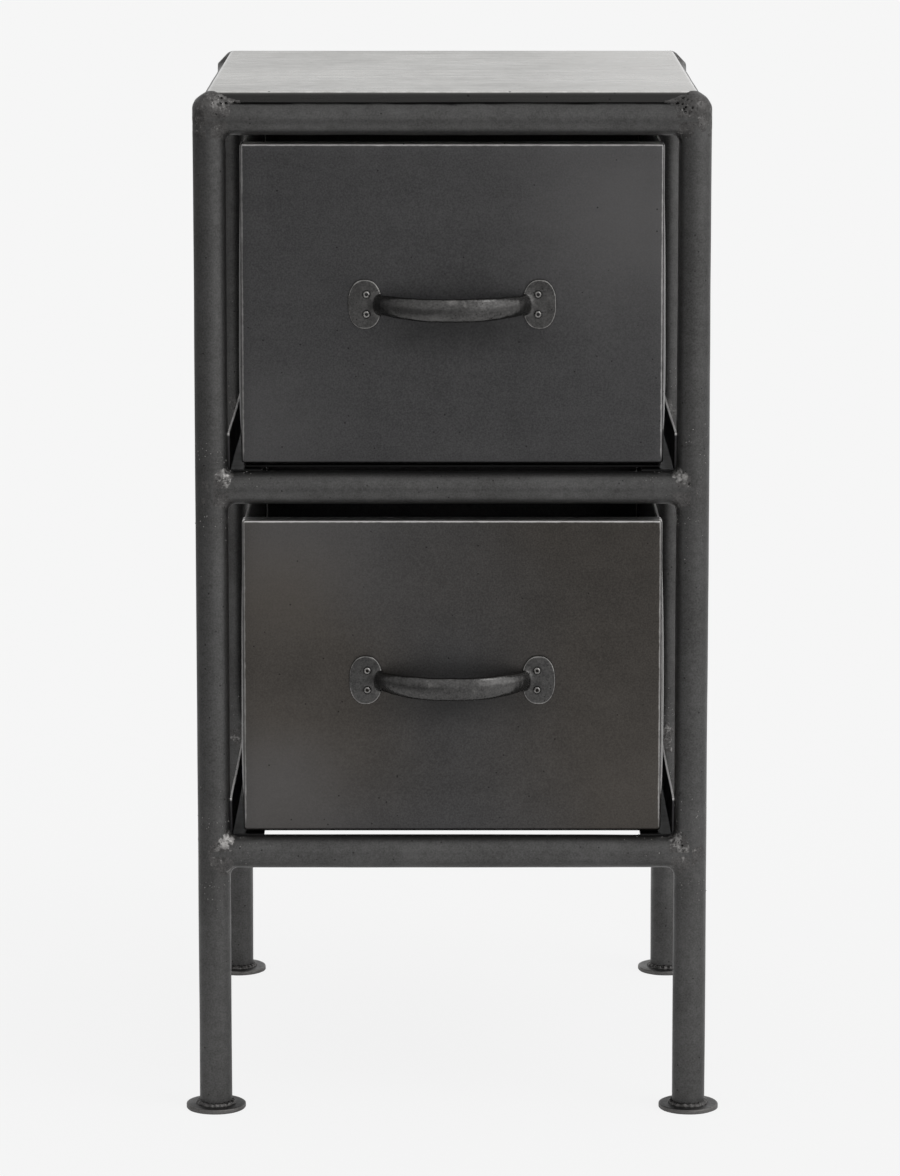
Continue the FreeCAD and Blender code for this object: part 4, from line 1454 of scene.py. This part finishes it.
            def gap(points: Array, at: Array = centre, r: float = radius, seed: int = seed) -> Array:
                """The distance to a ring of overlapping drops.

                Args:
                    points: places in metres, one row each.
                    at: middle of the ring.
                    r: radius of the leg.
                    seed: chooses its lumps.

                Returns:
                    Distances, negative inside.
                """
                drops, sway, sunk, cut = 19, 3, 0.3 * MM, 1.2 * MM
                flat = points[:, :2] - at[:2]
                angle = np.arctan2(flat[:, 1], flat[:, 0])
                ripple = 0.35 * MM * np.sin(angle * drops + 2 * np.sin(angle * sway + seed))
                out = np.linalg.norm(flat, axis=1) - r
                value = np.hypot(out + sunk, (points[:, 2] - at[2] + sunk)) - self.foot_bead - ripple
                value += noise(points, 3 * MM, seed, 2) * 0.25 * MM
                return np.maximum(value, at[2] - cut - points[:, 2])

            reach = radius + 3.5 * MM
            solids.append((gap, centre, np.array((reach, reach, 4 * MM)) + self.cell))
            seed += 5
        points, faces = skins(solids, self.cell)
        self.shop.piece("foot_welds", points, faces, Slot.WELD, replaces=("foot_weld_beads",),
                        marks={"wear_and_sheen": 0.1 + 0.25 * noise(points, 4 * MM, 9)}, crisp=70)

    def runner_tacks(self, seed: int) -> None:
        """Short welds between the runners' sides and the legs.

        Args:
            seed: chooses their lumps.
        """
        solids = []
        for drawer, side, end in product(("upper", "lower"), SIDES, ENDS):
            low, high = extent(f"{drawer}_{side}_runner")
            outer, turn = (high[0], 1) if side == "right" else (low[0], -1)
            inward = 1 if end == "front" else -1
            leg_y = centre_of(f"{end}_{side}_leg")[1]
            centre = np.array((outer + turn * 0.9 * MM, leg_y + inward * 5.4 * MM, (low[2] + high[2]) / 2))

            def gap(points: Array, at: Array = centre, seed: int = seed) -> Array:
                """The distance to a short run of weld.

                Args:
                    points: places in metres, one row each.
                    at: its middle.
                    seed: chooses its lumps.

                Returns:
                    Distances, negative inside.
                """
                ripple = 0.3 * MM * np.sin((points[:, 2] - at[2]) / (0.45 * MM))
                shape = block(points, at, (1.5 * MM, 2.6 * MM, 8 * MM), 1.4 * MM)
                return shape - ripple + noise(points, 2.5 * MM, seed, 2) * 0.3 * MM

            solids.append((gap, centre, np.array((3, 4, 9.5)) * MM))
            seed += 3
        points, faces = skins(solids, self.tack_cell)
        self.shop.piece("runner_welds", points, faces, Slot.WELD, replaces=("runner_weld_beads",), crisp=70)


@dataclass
class Lid:
    """The folded sheet lid."""

    shop: Workshop
    fold: float = 2.5 * MM
    sheet: float = 1.2 * MM
    step: float = 5 * MM
    sag: float = 0.12 * MM
    dip_size: float = 45 * MM
    worn_width: float = 3 * MM
    # painted light: a paler area painted towards the right of the lid; where it lies, how wide it is and how strong
    lit_right_at: float = 135 * MM
    lit_right_width: float = 60 * MM
    lit_right: float = 0.55

    def build(self) -> None:
        """Make the lid, slightly wavy, with scuffed folds, its lip painted dark as painted shade and a paler area to
        the right as painted light.
        """
        low, high = extent("top_plate")
        size = high - low
        points, faces = tray(*size, self.fold, self.step)
        edge = np.minimum(size[0] / 2 - np.abs(points[:, 0]), size[1] / 2 - np.abs(points[:, 1]))
        wear_and_sheen = fading(edge, self.worn_width)
        # painted shade: the downward lip is painted near black, darker than the top only because the light falls
        # differently on a front face
        lip = np.clip((-points[:, 2] - 0.5 * MM) / (0.8 * MM), 0, 1)
        points[:, 2] += (noise(points * (0.35, 1, 1), self.dip_size, 5, 2) - 1.6) * self.sag
        middle = (low + high) / 2
        points = points + (middle[0], middle[1], high[2])
        # painted light: the lid is painted paler to the right of its middle, standing in for brighter light there
        lit_right = self.lit_right * fading(points[:, 0] - self.lit_right_at, self.lit_right_width)
        self.shop.piece("lid_sheet", points, faces, Slot.TOP, replaces=("top_plate",), thickness=self.sheet,
                        marks={"wear_and_sheen": wear_and_sheen * (1 - lip), "black": lip, "pale": lit_right})


@dataclass
class Runners:
    """The folded angles that carry the drawers, with their stop tabs."""

    shop: Workshop
    sheet: float = 1.2 * MM
    fold: float = 2.2 * MM
    step: float = 5 * MM
    worn_width: float = 1.6 * MM
    bend: float = 0.25 * MM
    bend_size: float = 50 * MM
    ledge_shade: float = 0.85
    tab_margin: float = 3 * MM
    tab_back: float = 17 * MM
    tab_height: float = 15 * MM
    tab_middle: float = 8.6 * MM

    def build(self) -> None:
        """Make the four runners."""
        for drawer, side in product(("upper", "lower"), SIDES):
            self.runner(f"{drawer}_{side}_runner", 1 if side == "right" else -1)

    def runner(self, name: str, turn: int) -> None:
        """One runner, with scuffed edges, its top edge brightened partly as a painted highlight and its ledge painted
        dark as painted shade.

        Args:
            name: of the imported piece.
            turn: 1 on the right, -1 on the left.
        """
        low, high = extent(name)
        width, height = high[0] - low[0], high[2] - low[2]
        outline = bent([(0, 0), (width, 0), (width, height)], self.fold, self.sheet, 3 * MM)
        stations = np.linspace(low[1], high[1], int((high[1] - low[1]) / self.step))
        points, faces = swept(outline, stations)
        # the top edge is brightened: scuffing, and a painted highlight along the cut edge
        wear_and_sheen = np.maximum(1.2 * fading(height - points[:, 2], self.worn_width),
                          0.25 * fading(points[:, 0], self.worn_width))
        # painted shade: the ledge at the foot of the angle is painted near black, as it lies in shade
        ledge_shaded = self.ledge_shade * (points[:, 2] < 1.5 * self.fold)
        points[:, 0] += self.bend * noise(points, self.bend_size, 31) * points[:, 2] / height
        tab, loops = tray(width - self.sheet - 2 * self.tab_margin, self.tab_height, self.sheet, 0.5 * MM, 3 * MM)
        rim = [k for k in range(len(tab)) if tab[k, 2] < -self.sheet * 0.99]
        loops.append(rim[::-1])
        stood = np.stack([tab[:, 0] + (width - self.sheet) / 2, high[1] - self.tab_back - tab[:, 2],
                          tab[:, 1] + self.tab_middle], -1)
        placed, faces = joined([(points, faces), (stood, loops)])
        placed[:, 0] = low[0] + placed[:, 0] if turn > 0 else high[0] - placed[:, 0]
        placed[:, 2] += low[2]
        if turn < 0:
            faces = [loop[::-1] for loop in faces]
        clean = np.zeros(len(tab))
        self.shop.piece(name + "_angle", placed, faces, Slot.RUNNER, replaces=(name,), crisp=35,
                        marks={"wear_and_sheen": np.concatenate([wear_and_sheen, clean]), "black": np.concatenate([ledge_shaded, clean])})


@dataclass
class Drawer:
    """One drawer: its folded front, shell, back, handle and rivets."""

    shop: Workshop
    which: Body
    seed: int
    fold: float = 2.2 * MM
    sheet: float = 1.2 * MM
    step: float = 6 * MM
    wave: float = 0.22 * MM
    worn_edge: float = 2.2 * MM
    worn_fold: float = 2.4 * MM
    stiff: float = 20 * MM
    bulge: float = 0.5 * MM
    bulge_size: float = 90 * MM
    shell_rows: int = 40
    flare: float = 2.2 * MM
    flare_above: float = 12 * MM
    plate_half: Triple = (11 * MM, 1.0 * MM, 16.25 * MM)
    plate_power: float = 2.3
    plate_round: float = 0.6 * MM
    bar_power: float = 2.2
    bar_front: float = 4 * MM
    bar_half: tuple[float, float] = (4.0 * MM, 7.9 * MM)
    bar_taper: tuple[float, float] = (0.5 * MM, 1.6 * MM)
    bar_points: int = 37
    handle_flow: float = 0.8 * MM
    hammer_size: float = 12 * MM
    hammer_depth: float = 0.14 * MM
    handle_cell: float = 0.7 * MM
    grip_half: float = 49 * MM
    bow: float = 2.4
    droop: float = 1.4 * MM
    painted_shadow: float = 0.5
    warmth: float = 0.0
    patches: tuple[tuple[float, float, float, float], ...] = ()
    rivet_head: float = 2.5 * MM
    rivet_shank: float = 1.55 * MM
    rivet_hole: float = 1.7 * MM
    rivet_ring: float = 2.9 * MM
    rivet_sides: int = 28
    rivet_bore: float = 1.05 * MM

    @property
    def prefix(self) -> str:
        """The first word of this drawer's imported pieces."""
        return "upper" if self.which is Body.UPPER else "lower"

    def build(self) -> None:
        """Make the drawer's pieces."""
        self.front()
        self.handle()
        self.rivets()
        self.shell()
        self.back()

    def shell(self) -> None:
        """The bottom and both sides, folded from one sheet, with bright cut edges."""
        name = f"{self.prefix}_drawer_shell"
        low, high = extent(name)
        line = [(low[0], high[2]), (low[0], low[2]), (high[0], low[2]), (high[0], high[2])]
        points, faces = swept(bent(line, self.fold, self.sheet, 9 * MM), np.linspace(low[1], high[1], self.shell_rows))
        wear_and_sheen = 1.2 * fading(high[2] - points[:, 2], 1.5 * MM)
        upward, backward = ((points[:, axis] - low[axis]) / (high[axis] - low[axis]) for axis in (2, 1))
        bulge = self.bulge * np.clip(upward, 0, 1) * np.sin(math.pi * backward)
        points[:, 0] -= np.sign(points[:, 0]) * bulge * (1 + 0.5 * noise(points, self.bulge_size, self.seed + 6))
        shaded = fading(points[:, 1] - low[1], 3 * MM) * (points[:, 2] < low[2] + 2 * self.fold)
        self.shop.piece(name + "_folded", points, faces, Slot.DRAWER, self.which, replaces=(name,),
                        marks={"wear_and_sheen": wear_and_sheen, "black": shaded}, crisp=35)

    def pan(self, size: Array) -> tuple[Array, list[list[int]], Array, Array]:
        """A shallow pan of folded sheet, face up.

        Args:
            size: its width, depth and height when it stands in the drawer.

        Returns:
            The points, the faces, how scuffed each point is and how freely it can give.
        """
        points, faces = tray(size[0], size[2], size[1], self.fold, self.step)
        edge = np.minimum(size[0] / 2 - np.abs(points[:, 0]), size[2] / 2 - np.abs(points[:, 1]))
        worn_and_sheen = fading(edge, self.worn_edge) * fading(points[:, 2], self.worn_fold)
        return points, faces, worn_and_sheen, 1 - fading(edge, self.stiff)

    def waves(self, points: Array, size: float, seed: int) -> Array:
        """How far each point of a slightly wavy sheet lies back."""
        return (1 + noise(points, size, seed, 2)) * self.wave

    def back(self) -> None:
        """The back: a shallow pan like the front, inside the shell."""
        name = f"{self.prefix}_drawer_back"
        (low, high), middle = extent(name), centre_of(name)
        points, faces, worn_and_sheen, free = self.pan(high - low)
        points[:, 2] -= self.waves(points, 90 * MM, self.seed + 4) * free
        placed = np.stack([middle[0] - points[:, 0], high[1] + points[:, 2], points[:, 1] + middle[2]], -1)
        self.shop.piece(name + "_pan", placed, faces, Slot.DRAWER, self.which, replaces=(name,),
                        thickness=self.sheet, marks={"wear_and_sheen": worn_and_sheen})

    def front(self) -> None:
        """The front: a shallow pan, a little wavy, with scuffed folds and flared sides, a painted reflection on the
        flanges, a painted highlight on the top fold, paler patches that are partly painted light, and a painted shadow
        under the handle.
        """
        name = f"{self.prefix}_drawer_front"
        (low, high), middle = extent(name), centre_of(name)
        size = high - low
        points, faces, worn_and_sheen, free = self.pan(size)
        across, up = points[:, 0], points[:, 1]
        depth = np.clip(-points[:, 2] / size[1], 0, 1)
        sideways = np.abs(across) > size[0] / 2 - self.fold
        bow = np.clip(1 - (np.abs(up + self.flare_above) / (0.46 * size[2])) ** 2, 0, 1)
        bow *= 0.75 + 0.25 * noise(points, 70 * MM, self.seed + 3)
        across += np.sign(across) * sideways * depth * bow * self.flare
        worn_and_sheen = worn_and_sheen * (1 - 0.55 * fading(size[2] / 2 + up, 3 * MM))
        # painted reflection: the back part of each side flange is painted bright, standing in for the white behind it
        # reflected at a grazing angle
        worn_and_sheen = np.maximum(worn_and_sheen, 1.3 * sideways * np.clip((depth - 0.8) / 0.2, 0, 1))
        # the top fold is painted bright: scuffing, and a painted highlight along the fold
        worn_and_sheen = np.maximum(worn_and_sheen, 1.35 * fading(size[2] / 2 - up, 1.8 * MM) * (depth < 0.3))
        # paler patches: patina, and painted light where the front is lit more brightly, as on the upper drawer's right
        pale = np.zeros(len(points))
        for patch_x, patch_z, radius, strength in self.patches:
            gone = np.hypot(across - patch_x * size[0], up - patch_z * size[2])
            pale = np.maximum(pale, strength * fading(gone, radius))
        # painted shadow: a dark spot painted under the handle, where its shadow falls
        under = np.hypot((across - 3 * MM) / (46 * MM), (up + 17 * MM) / (13 * MM))
        painted_shadow = self.painted_shadow * fading(under, 1) * (1 + 0.3 * noise(points, 25 * MM, self.seed + 15, 2))
        warm = self.warmth * np.clip(0.75 + 0.6 * noise(points, 110 * MM, self.seed + 12, 2), 0, 1)
        points[:, 2] -= self.waves(points, 80 * MM, self.seed) * free
        turned_up = np.stack([across + middle[0], low[1] - points[:, 2], up + middle[2]], -1)
        self.shop.piece(name + "_pan", turned_up, faces, Slot.DRAWER, self.which, replaces=(name,),
                        thickness=self.sheet, marks={"wear_and_sheen": worn_and_sheen, "warm": warm, "pale": pale, "black": painted_shadow})

    def handle(self) -> None:
        """The handle: two plates and a forged grip, hammered all over."""
        name = f"{self.prefix}_handle"
        (low, high), middle, back = extent(name), centre_of(name), extent(name)[1][1]
        plate_half = np.array(self.plate_half)
        plate_x = (high[0] - low[0]) / 2 - plate_half[0]
        grip_y = low[1] + self.bar_front
        first, last = extent(f"{self.prefix}_handle_rivets")
        holes = list(product(*((first[k] + self.rivet_head, last[k] - self.rivet_head) for k in (0, 2))))
        path = [(self.grip_half * share, back - (back - grip_y) * (1 - abs(share) ** self.bow))
                for share in np.linspace(-1, 1, self.bar_points)]

        def on_rim(away: Array) -> Array:
            """How far out in its rounded outline a point of a plate is, 1 at the rim.

            Args:
                away: distances from the plate's middle along X and Z.

            Returns:
                One number for each point.
            """
            return ((np.abs(away) / plate_half[[0, 2]]) ** self.plate_power).sum(axis=1) ** (1 / self.plate_power)

        def gap(points: Array) -> Array:
            """The distance to the whole handle.

            Args:
                points: places in metres, one row each.

            Returns:
                Distances, negative inside.
            """
            flat = points * (1, 1, 0)
            rail = np.full(len(points), np.inf)
            for (ax, ay), (bx, by) in zip(path, path[1:]):
                rail = np.minimum(rail, capsule(flat, (ax + middle[0], ay, 0), (bx + middle[0], by, 0), 0))
            thin = np.clip((points[:, 1] - grip_y) / (back - grip_y), 0, 1)
            half_thick = self.bar_half[0] - thin * self.bar_taper[0]
            half_high = self.bar_half[1] - thin ** 1.3 * self.bar_taper[1]
            up = points[:, 2] - middle[2] + self.droop * (1 - ((points[:, 0] - middle[0]) / self.grip_half) ** 2)
            power = self.bar_power
            ratio = ((rail / half_thick) ** power + np.abs(up / half_high) ** power + 1e-12) ** (1 / power)
            solids = [(ratio - 1) * half_thick * 0.9]
            for turn in (-1, 1):
                gone = points - np.array((middle[0] + turn * plate_x, back - plate_half[1], middle[2]))
                edge = np.stack([(on_rim(gone[:, (0, 2)]) - 1) * plate_half[0], np.abs(gone[:, 1]) - 0.95 * MM], -1)
                edge += self.plate_round
                solids.append(np.linalg.norm(np.maximum(edge, 0), axis=1) + np.minimum(edge.max(axis=1), 0)
                              - self.plate_round)
            value = melted(solids, self.handle_flow) + 0.15 * MM
            near = np.abs(value) < 2 * MM
            spots = points[near]
            value[near] += hollows(spots, self.hammer_size, self.seed) * self.hammer_depth - 0.05 * MM
            value[near] += noise(spots, 5 * MM, self.seed + 5, 2) * 0.05 * MM
            for x, z in holes:
                bored = np.hypot(points[:, 0] - x, points[:, 2] - z)
                value = np.maximum(value, np.where(points[:, 1] > back - 3 * MM, self.rivet_hole - bored, -1))
            return np.maximum(value, points[:, 1] - back + 0.05 * MM)

        room = 2 * MM
        points, faces = skin(gap, low - room, high + room, self.handle_cell)
        out = normals_of(points, faces)
        across, forward, up = points.T
        # the grip's front is brightened, more on its upper faces: scuffing, and a painted highlight on the upper half
        rub_and_highlight = np.clip((low[1] + 5 * MM - forward) / (5 * MM), 0, 1) * np.clip(out[:, 2] + 0.3, 0, 1)
        wear_and_sheen = 0.15 + 0.6 * rub_and_highlight + 0.2 * noise(points, 5 * MM, self.seed + 8)
        aside = np.abs(across - middle[0])
        on_plate = (forward > back - 2.6 * MM) & (aside > plate_x - plate_half[0])
        rim = on_plate * fading(on_rim(np.stack([aside - plate_x, up - middle[2]], -1)) - 0.95, 0.035)
        foot = np.clip((forward - back + 0.75 * MM) / (0.3 * MM), 0, 1)
        ring = np.stack([np.hypot(across - x, up - z) for x, z in holes]).min(axis=0)
        ring = on_plate * np.clip((self.rivet_ring - ring) / (0.5 * MM), 0, 1)
        self.shop.piece(name + "_forged", points, faces, Slot.HANDLE, self.which, replaces=(name,),
                        marks={"wear_and_sheen": np.maximum(wear_and_sheen, 0.9 * rim), "black": np.maximum(foot, ring)}, crisp=60)

    def rivets(self) -> None:
        """Hollow rivets through the handle's plates and the front."""
        name = f"{self.prefix}_handle_rivets"
        low, high = extent(name)
        place, head, shank, bore = self.rivet_head, self.rivet_head * 0.86, self.rivet_shank, self.rivet_bore
        depth = high[1] - low[1]
        profile = [
            (0.12 * MM, bore + 0.05 * MM), (0.0, bore + 0.35 * MM), (0.1 * MM, head * 0.75), (0.45 * MM, head * 0.95),
            (1.0 * MM, head), (1.15 * MM, shank), (depth - 0.9 * MM, shank), (depth - 0.8 * MM, head),
            (depth - 0.3 * MM, head * 0.95), (depth, bore + 0.4 * MM), (depth - 0.1 * MM, bore),
        ]
        meshes, inside = [], []
        for x, z in product(*((low[k] + place, high[k] - place) for k in (0, 2))):
            meshes.append(turned(profile, (x, low[1], z), (0, 1, 0), self.rivet_sides, closed=True))
            gone = np.hypot(meshes[-1][0][:, 0] - x, meshes[-1][0][:, 2] - z)
            # painted shade: the bore of each rivet is painted black, for the shade inside the hole
            inside.append(gone < bore + 0.2 * MM)
        points, faces = joined(meshes)
        self.shop.piece(name + "_set", points, faces, Slot.RIVET, self.which, replaces=(name,), crisp=35,
                        marks={"black": np.concatenate(inside), "wear_and_sheen": np.full(len(points), 0.8)})


# ---------------------------------------------------------------- studio

@dataclass(frozen=True)
class Lamp:
    """A very large, far and soft light."""

    name: str
    place: Triple
    angle: float
    strength: float
    aim: Triple = (0, 0, 0.35)

    def build(self) -> None:
        """Put the light in its place, pointing at the chest."""
        light = bpy.data.lights.new(self.name, "SUN")
        light.angle = math.radians(self.angle)
        light.energy = self.strength
        lamp = bpy.data.objects.new(self.name, light)
        lamp.location = self.place
        lamp.rotation_euler = (Vector(self.aim) - Vector(self.place)).to_track_quat("-Z", "Y").to_euler()
        bpy.context.scene.collection.objects.link(lamp)


LAMPS = (
    Lamp("key", (3.0, -2.0, 1.5), 60, 0.55),
    Lamp("glint", (1.9, -1.2, 3.3), 22, 0.30),
    Lamp("fill", (-1.4, -2.6, 1.4), 90, 0.2),
)


@dataclass(frozen=True)
class Studio:
    """Floor, light and camera."""

    floor_size: float = 60.0
    floor_grey: float = 0.9
    camera_place: Triple = (-0.0014, -3.384, 0.9214)
    camera_pitch: float = 8.83
    lens: float = 154.3
    shift: float = -0.10
    backdrop: Triple = (0.922, 0.922, 0.922)
    evenness: float = 0.92
    # reach, dim, bright and the near fields set the floor's painted light and shade, which only rays other than the
    # camera's see
    reach: float = 1.0
    dim: float = 0.30
    near_start: float = 0.5
    near_end: float = 1.9
    near_lift: float = 0.48
    bright: float = 0.84
    world_dim: float = 0.52
    world_bright: float = 1.20

    def build(self) -> None:
        """Set up everything round the chest."""
        self.floor()
        self.world()
        for lamp in LAMPS:
            lamp.build()
        self.camera()

    def floor(self) -> None:
        """A plain pale floor to the camera; to all other rays it is darker to the left and lighter near the chest, as
        painted shade and a painted pool of light that the chest reflects.
        """
        mesh = bpy.data.meshes.new("floor")
        half = self.floor_size / 2
        corners = [(-half, -half, 0), (half, -half, 0), (half, half, 0), (-half, half, 0)]
        mesh.from_pydata(corners, [], [(0, 1, 2, 3)])
        material = bpy.data.materials.new("pale_floor")
        material.use_nodes = True
        material.node_tree.nodes.clear()
        graph = Graph(material.node_tree)
        split = graph.node("ShaderNodeSeparateXYZ")
        graph.feed(split.inputs[0], graph.node("ShaderNodeTexCoord").outputs["Object"])
        # painted light and shade: for rays that do not come from the camera the floor is darker to the left and lighter
        # near the chest
        level = graph.range(split.outputs[0], -self.reach, self.reach, self.dim, self.bright)
        away = graph.node("ShaderNodeVectorMath", operation="LENGTH")
        graph.feed(away.inputs[0], graph.node("ShaderNodeTexCoord").outputs["Object"])
        near = graph.range(away.outputs["Value"], self.near_start, self.near_end, 1.0, 0.0)
        level = graph.calc("ADD", level, graph.calc("MULTIPLY", near, self.near_lift), clamp=True)
        shaded = graph.node("ShaderNodeBsdfDiffuse")
        graph.feed(shaded.inputs["Color"], graph.grey(level))
        plain = graph.node("ShaderNodeBsdfDiffuse")
        plain.inputs["Color"].default_value = (*[self.floor_grey] * 3, 1)
        glow = graph.node("ShaderNodeEmission")
        glow.inputs["Color"].default_value = (*self.backdrop, 1)
        even = graph.node("ShaderNodeMixShader")
        even.inputs[0].default_value = self.evenness
        graph.feed(even.inputs[1], plain.outputs[0])
        graph.feed(even.inputs[2], glow.outputs[0])
        chosen = graph.node("ShaderNodeMixShader")
        graph.feed(chosen.inputs[0], graph.node("ShaderNodeLightPath").outputs["Is Camera Ray"])
        graph.feed(chosen.inputs[1], shaded.outputs[0])
        graph.feed(chosen.inputs[2], even.outputs[0])
        out = graph.node("ShaderNodeOutputMaterial")
        graph.feed(out.inputs["Surface"], chosen.outputs[0])
        mesh.materials.append(material)
        ground = bpy.data.objects.new("floor", mesh)
        bpy.context.scene.collection.objects.link(ground)

    def world(self) -> None:
        """Soft white light, dimmer from the left."""
        world = bpy.data.worlds.new("studio")
        world.use_nodes = True
        world.node_tree.nodes.clear()
        graph = Graph(world.node_tree)
        split = graph.node("ShaderNodeSeparateXYZ")
        graph.feed(split.inputs[0], graph.node("ShaderNodeTexCoord").outputs["Generated"])
        level = graph.range(split.outputs[0], -1.0, 1.0, self.world_dim, self.world_bright)
        seen = graph.node("ShaderNodeLightPath").outputs["Is Camera Ray"]
        back = graph.node("ShaderNodeBackground")
        graph.feed(back.inputs["Color"], graph.blend(seen, graph.grey(level), (*self.backdrop, 1)))
        out = graph.node("ShaderNodeOutputWorld")
        graph.feed(out.inputs["Surface"], back.outputs[0])
        bpy.context.scene.world = world

    def camera(self) -> None:
        """The camera, a little above the chest and in front of it."""
        data = bpy.data.cameras.new("camera")
        data.lens = self.lens
        data.shift_y = self.shift
        data.clip_end = 100
        camera = bpy.data.objects.new("camera", data)
        camera.location = self.camera_place
        camera.rotation_euler = Euler((math.radians(90 - self.camera_pitch), 0, 0))
        bpy.context.scene.collection.objects.link(camera)
        bpy.context.scene.camera = camera
        bpy.context.scene.view_settings.view_transform = "Standard"


# paler patches on the drawer fronts, as across, up, radius and strength: patina, and painted light on the upper
# drawer's right
UPPER_PATCHES = ((0.42, 0.28, 60 * MM, 0.6), (0.30, 0.45, 45 * MM, 0.3), (-0.45, -0.40, 40 * MM, 0.25))
LOWER_PATCHES = ((-0.40, 0.36, 60 * MM, 0.5), (-0.42, -0.36, 60 * MM, 0.55), (0.42, -0.38, 55 * MM, 0.2))


def main() -> None:
    """Build the chest and the studio."""
    logging.basicConfig(level=logging.INFO, format="%(message)s")
    effects = Effects().build()
    materials = {slot: finish.build(effects) for slot, finish in FINISHES.items()}
    shop = Workshop(materials, Joints.of_frame())
    TubeFrame(shop).build()
    Welds(shop).build()
    Lid(shop).build()
    Runners(shop).build()
    Drawer(shop, Body.UPPER, 21, patches=UPPER_PATCHES).build()
    Drawer(shop, Body.LOWER, 61, warmth=1.0, patches=LOWER_PATCHES).build()
    Studio().build()


if __name__ == "__main__":
    main()
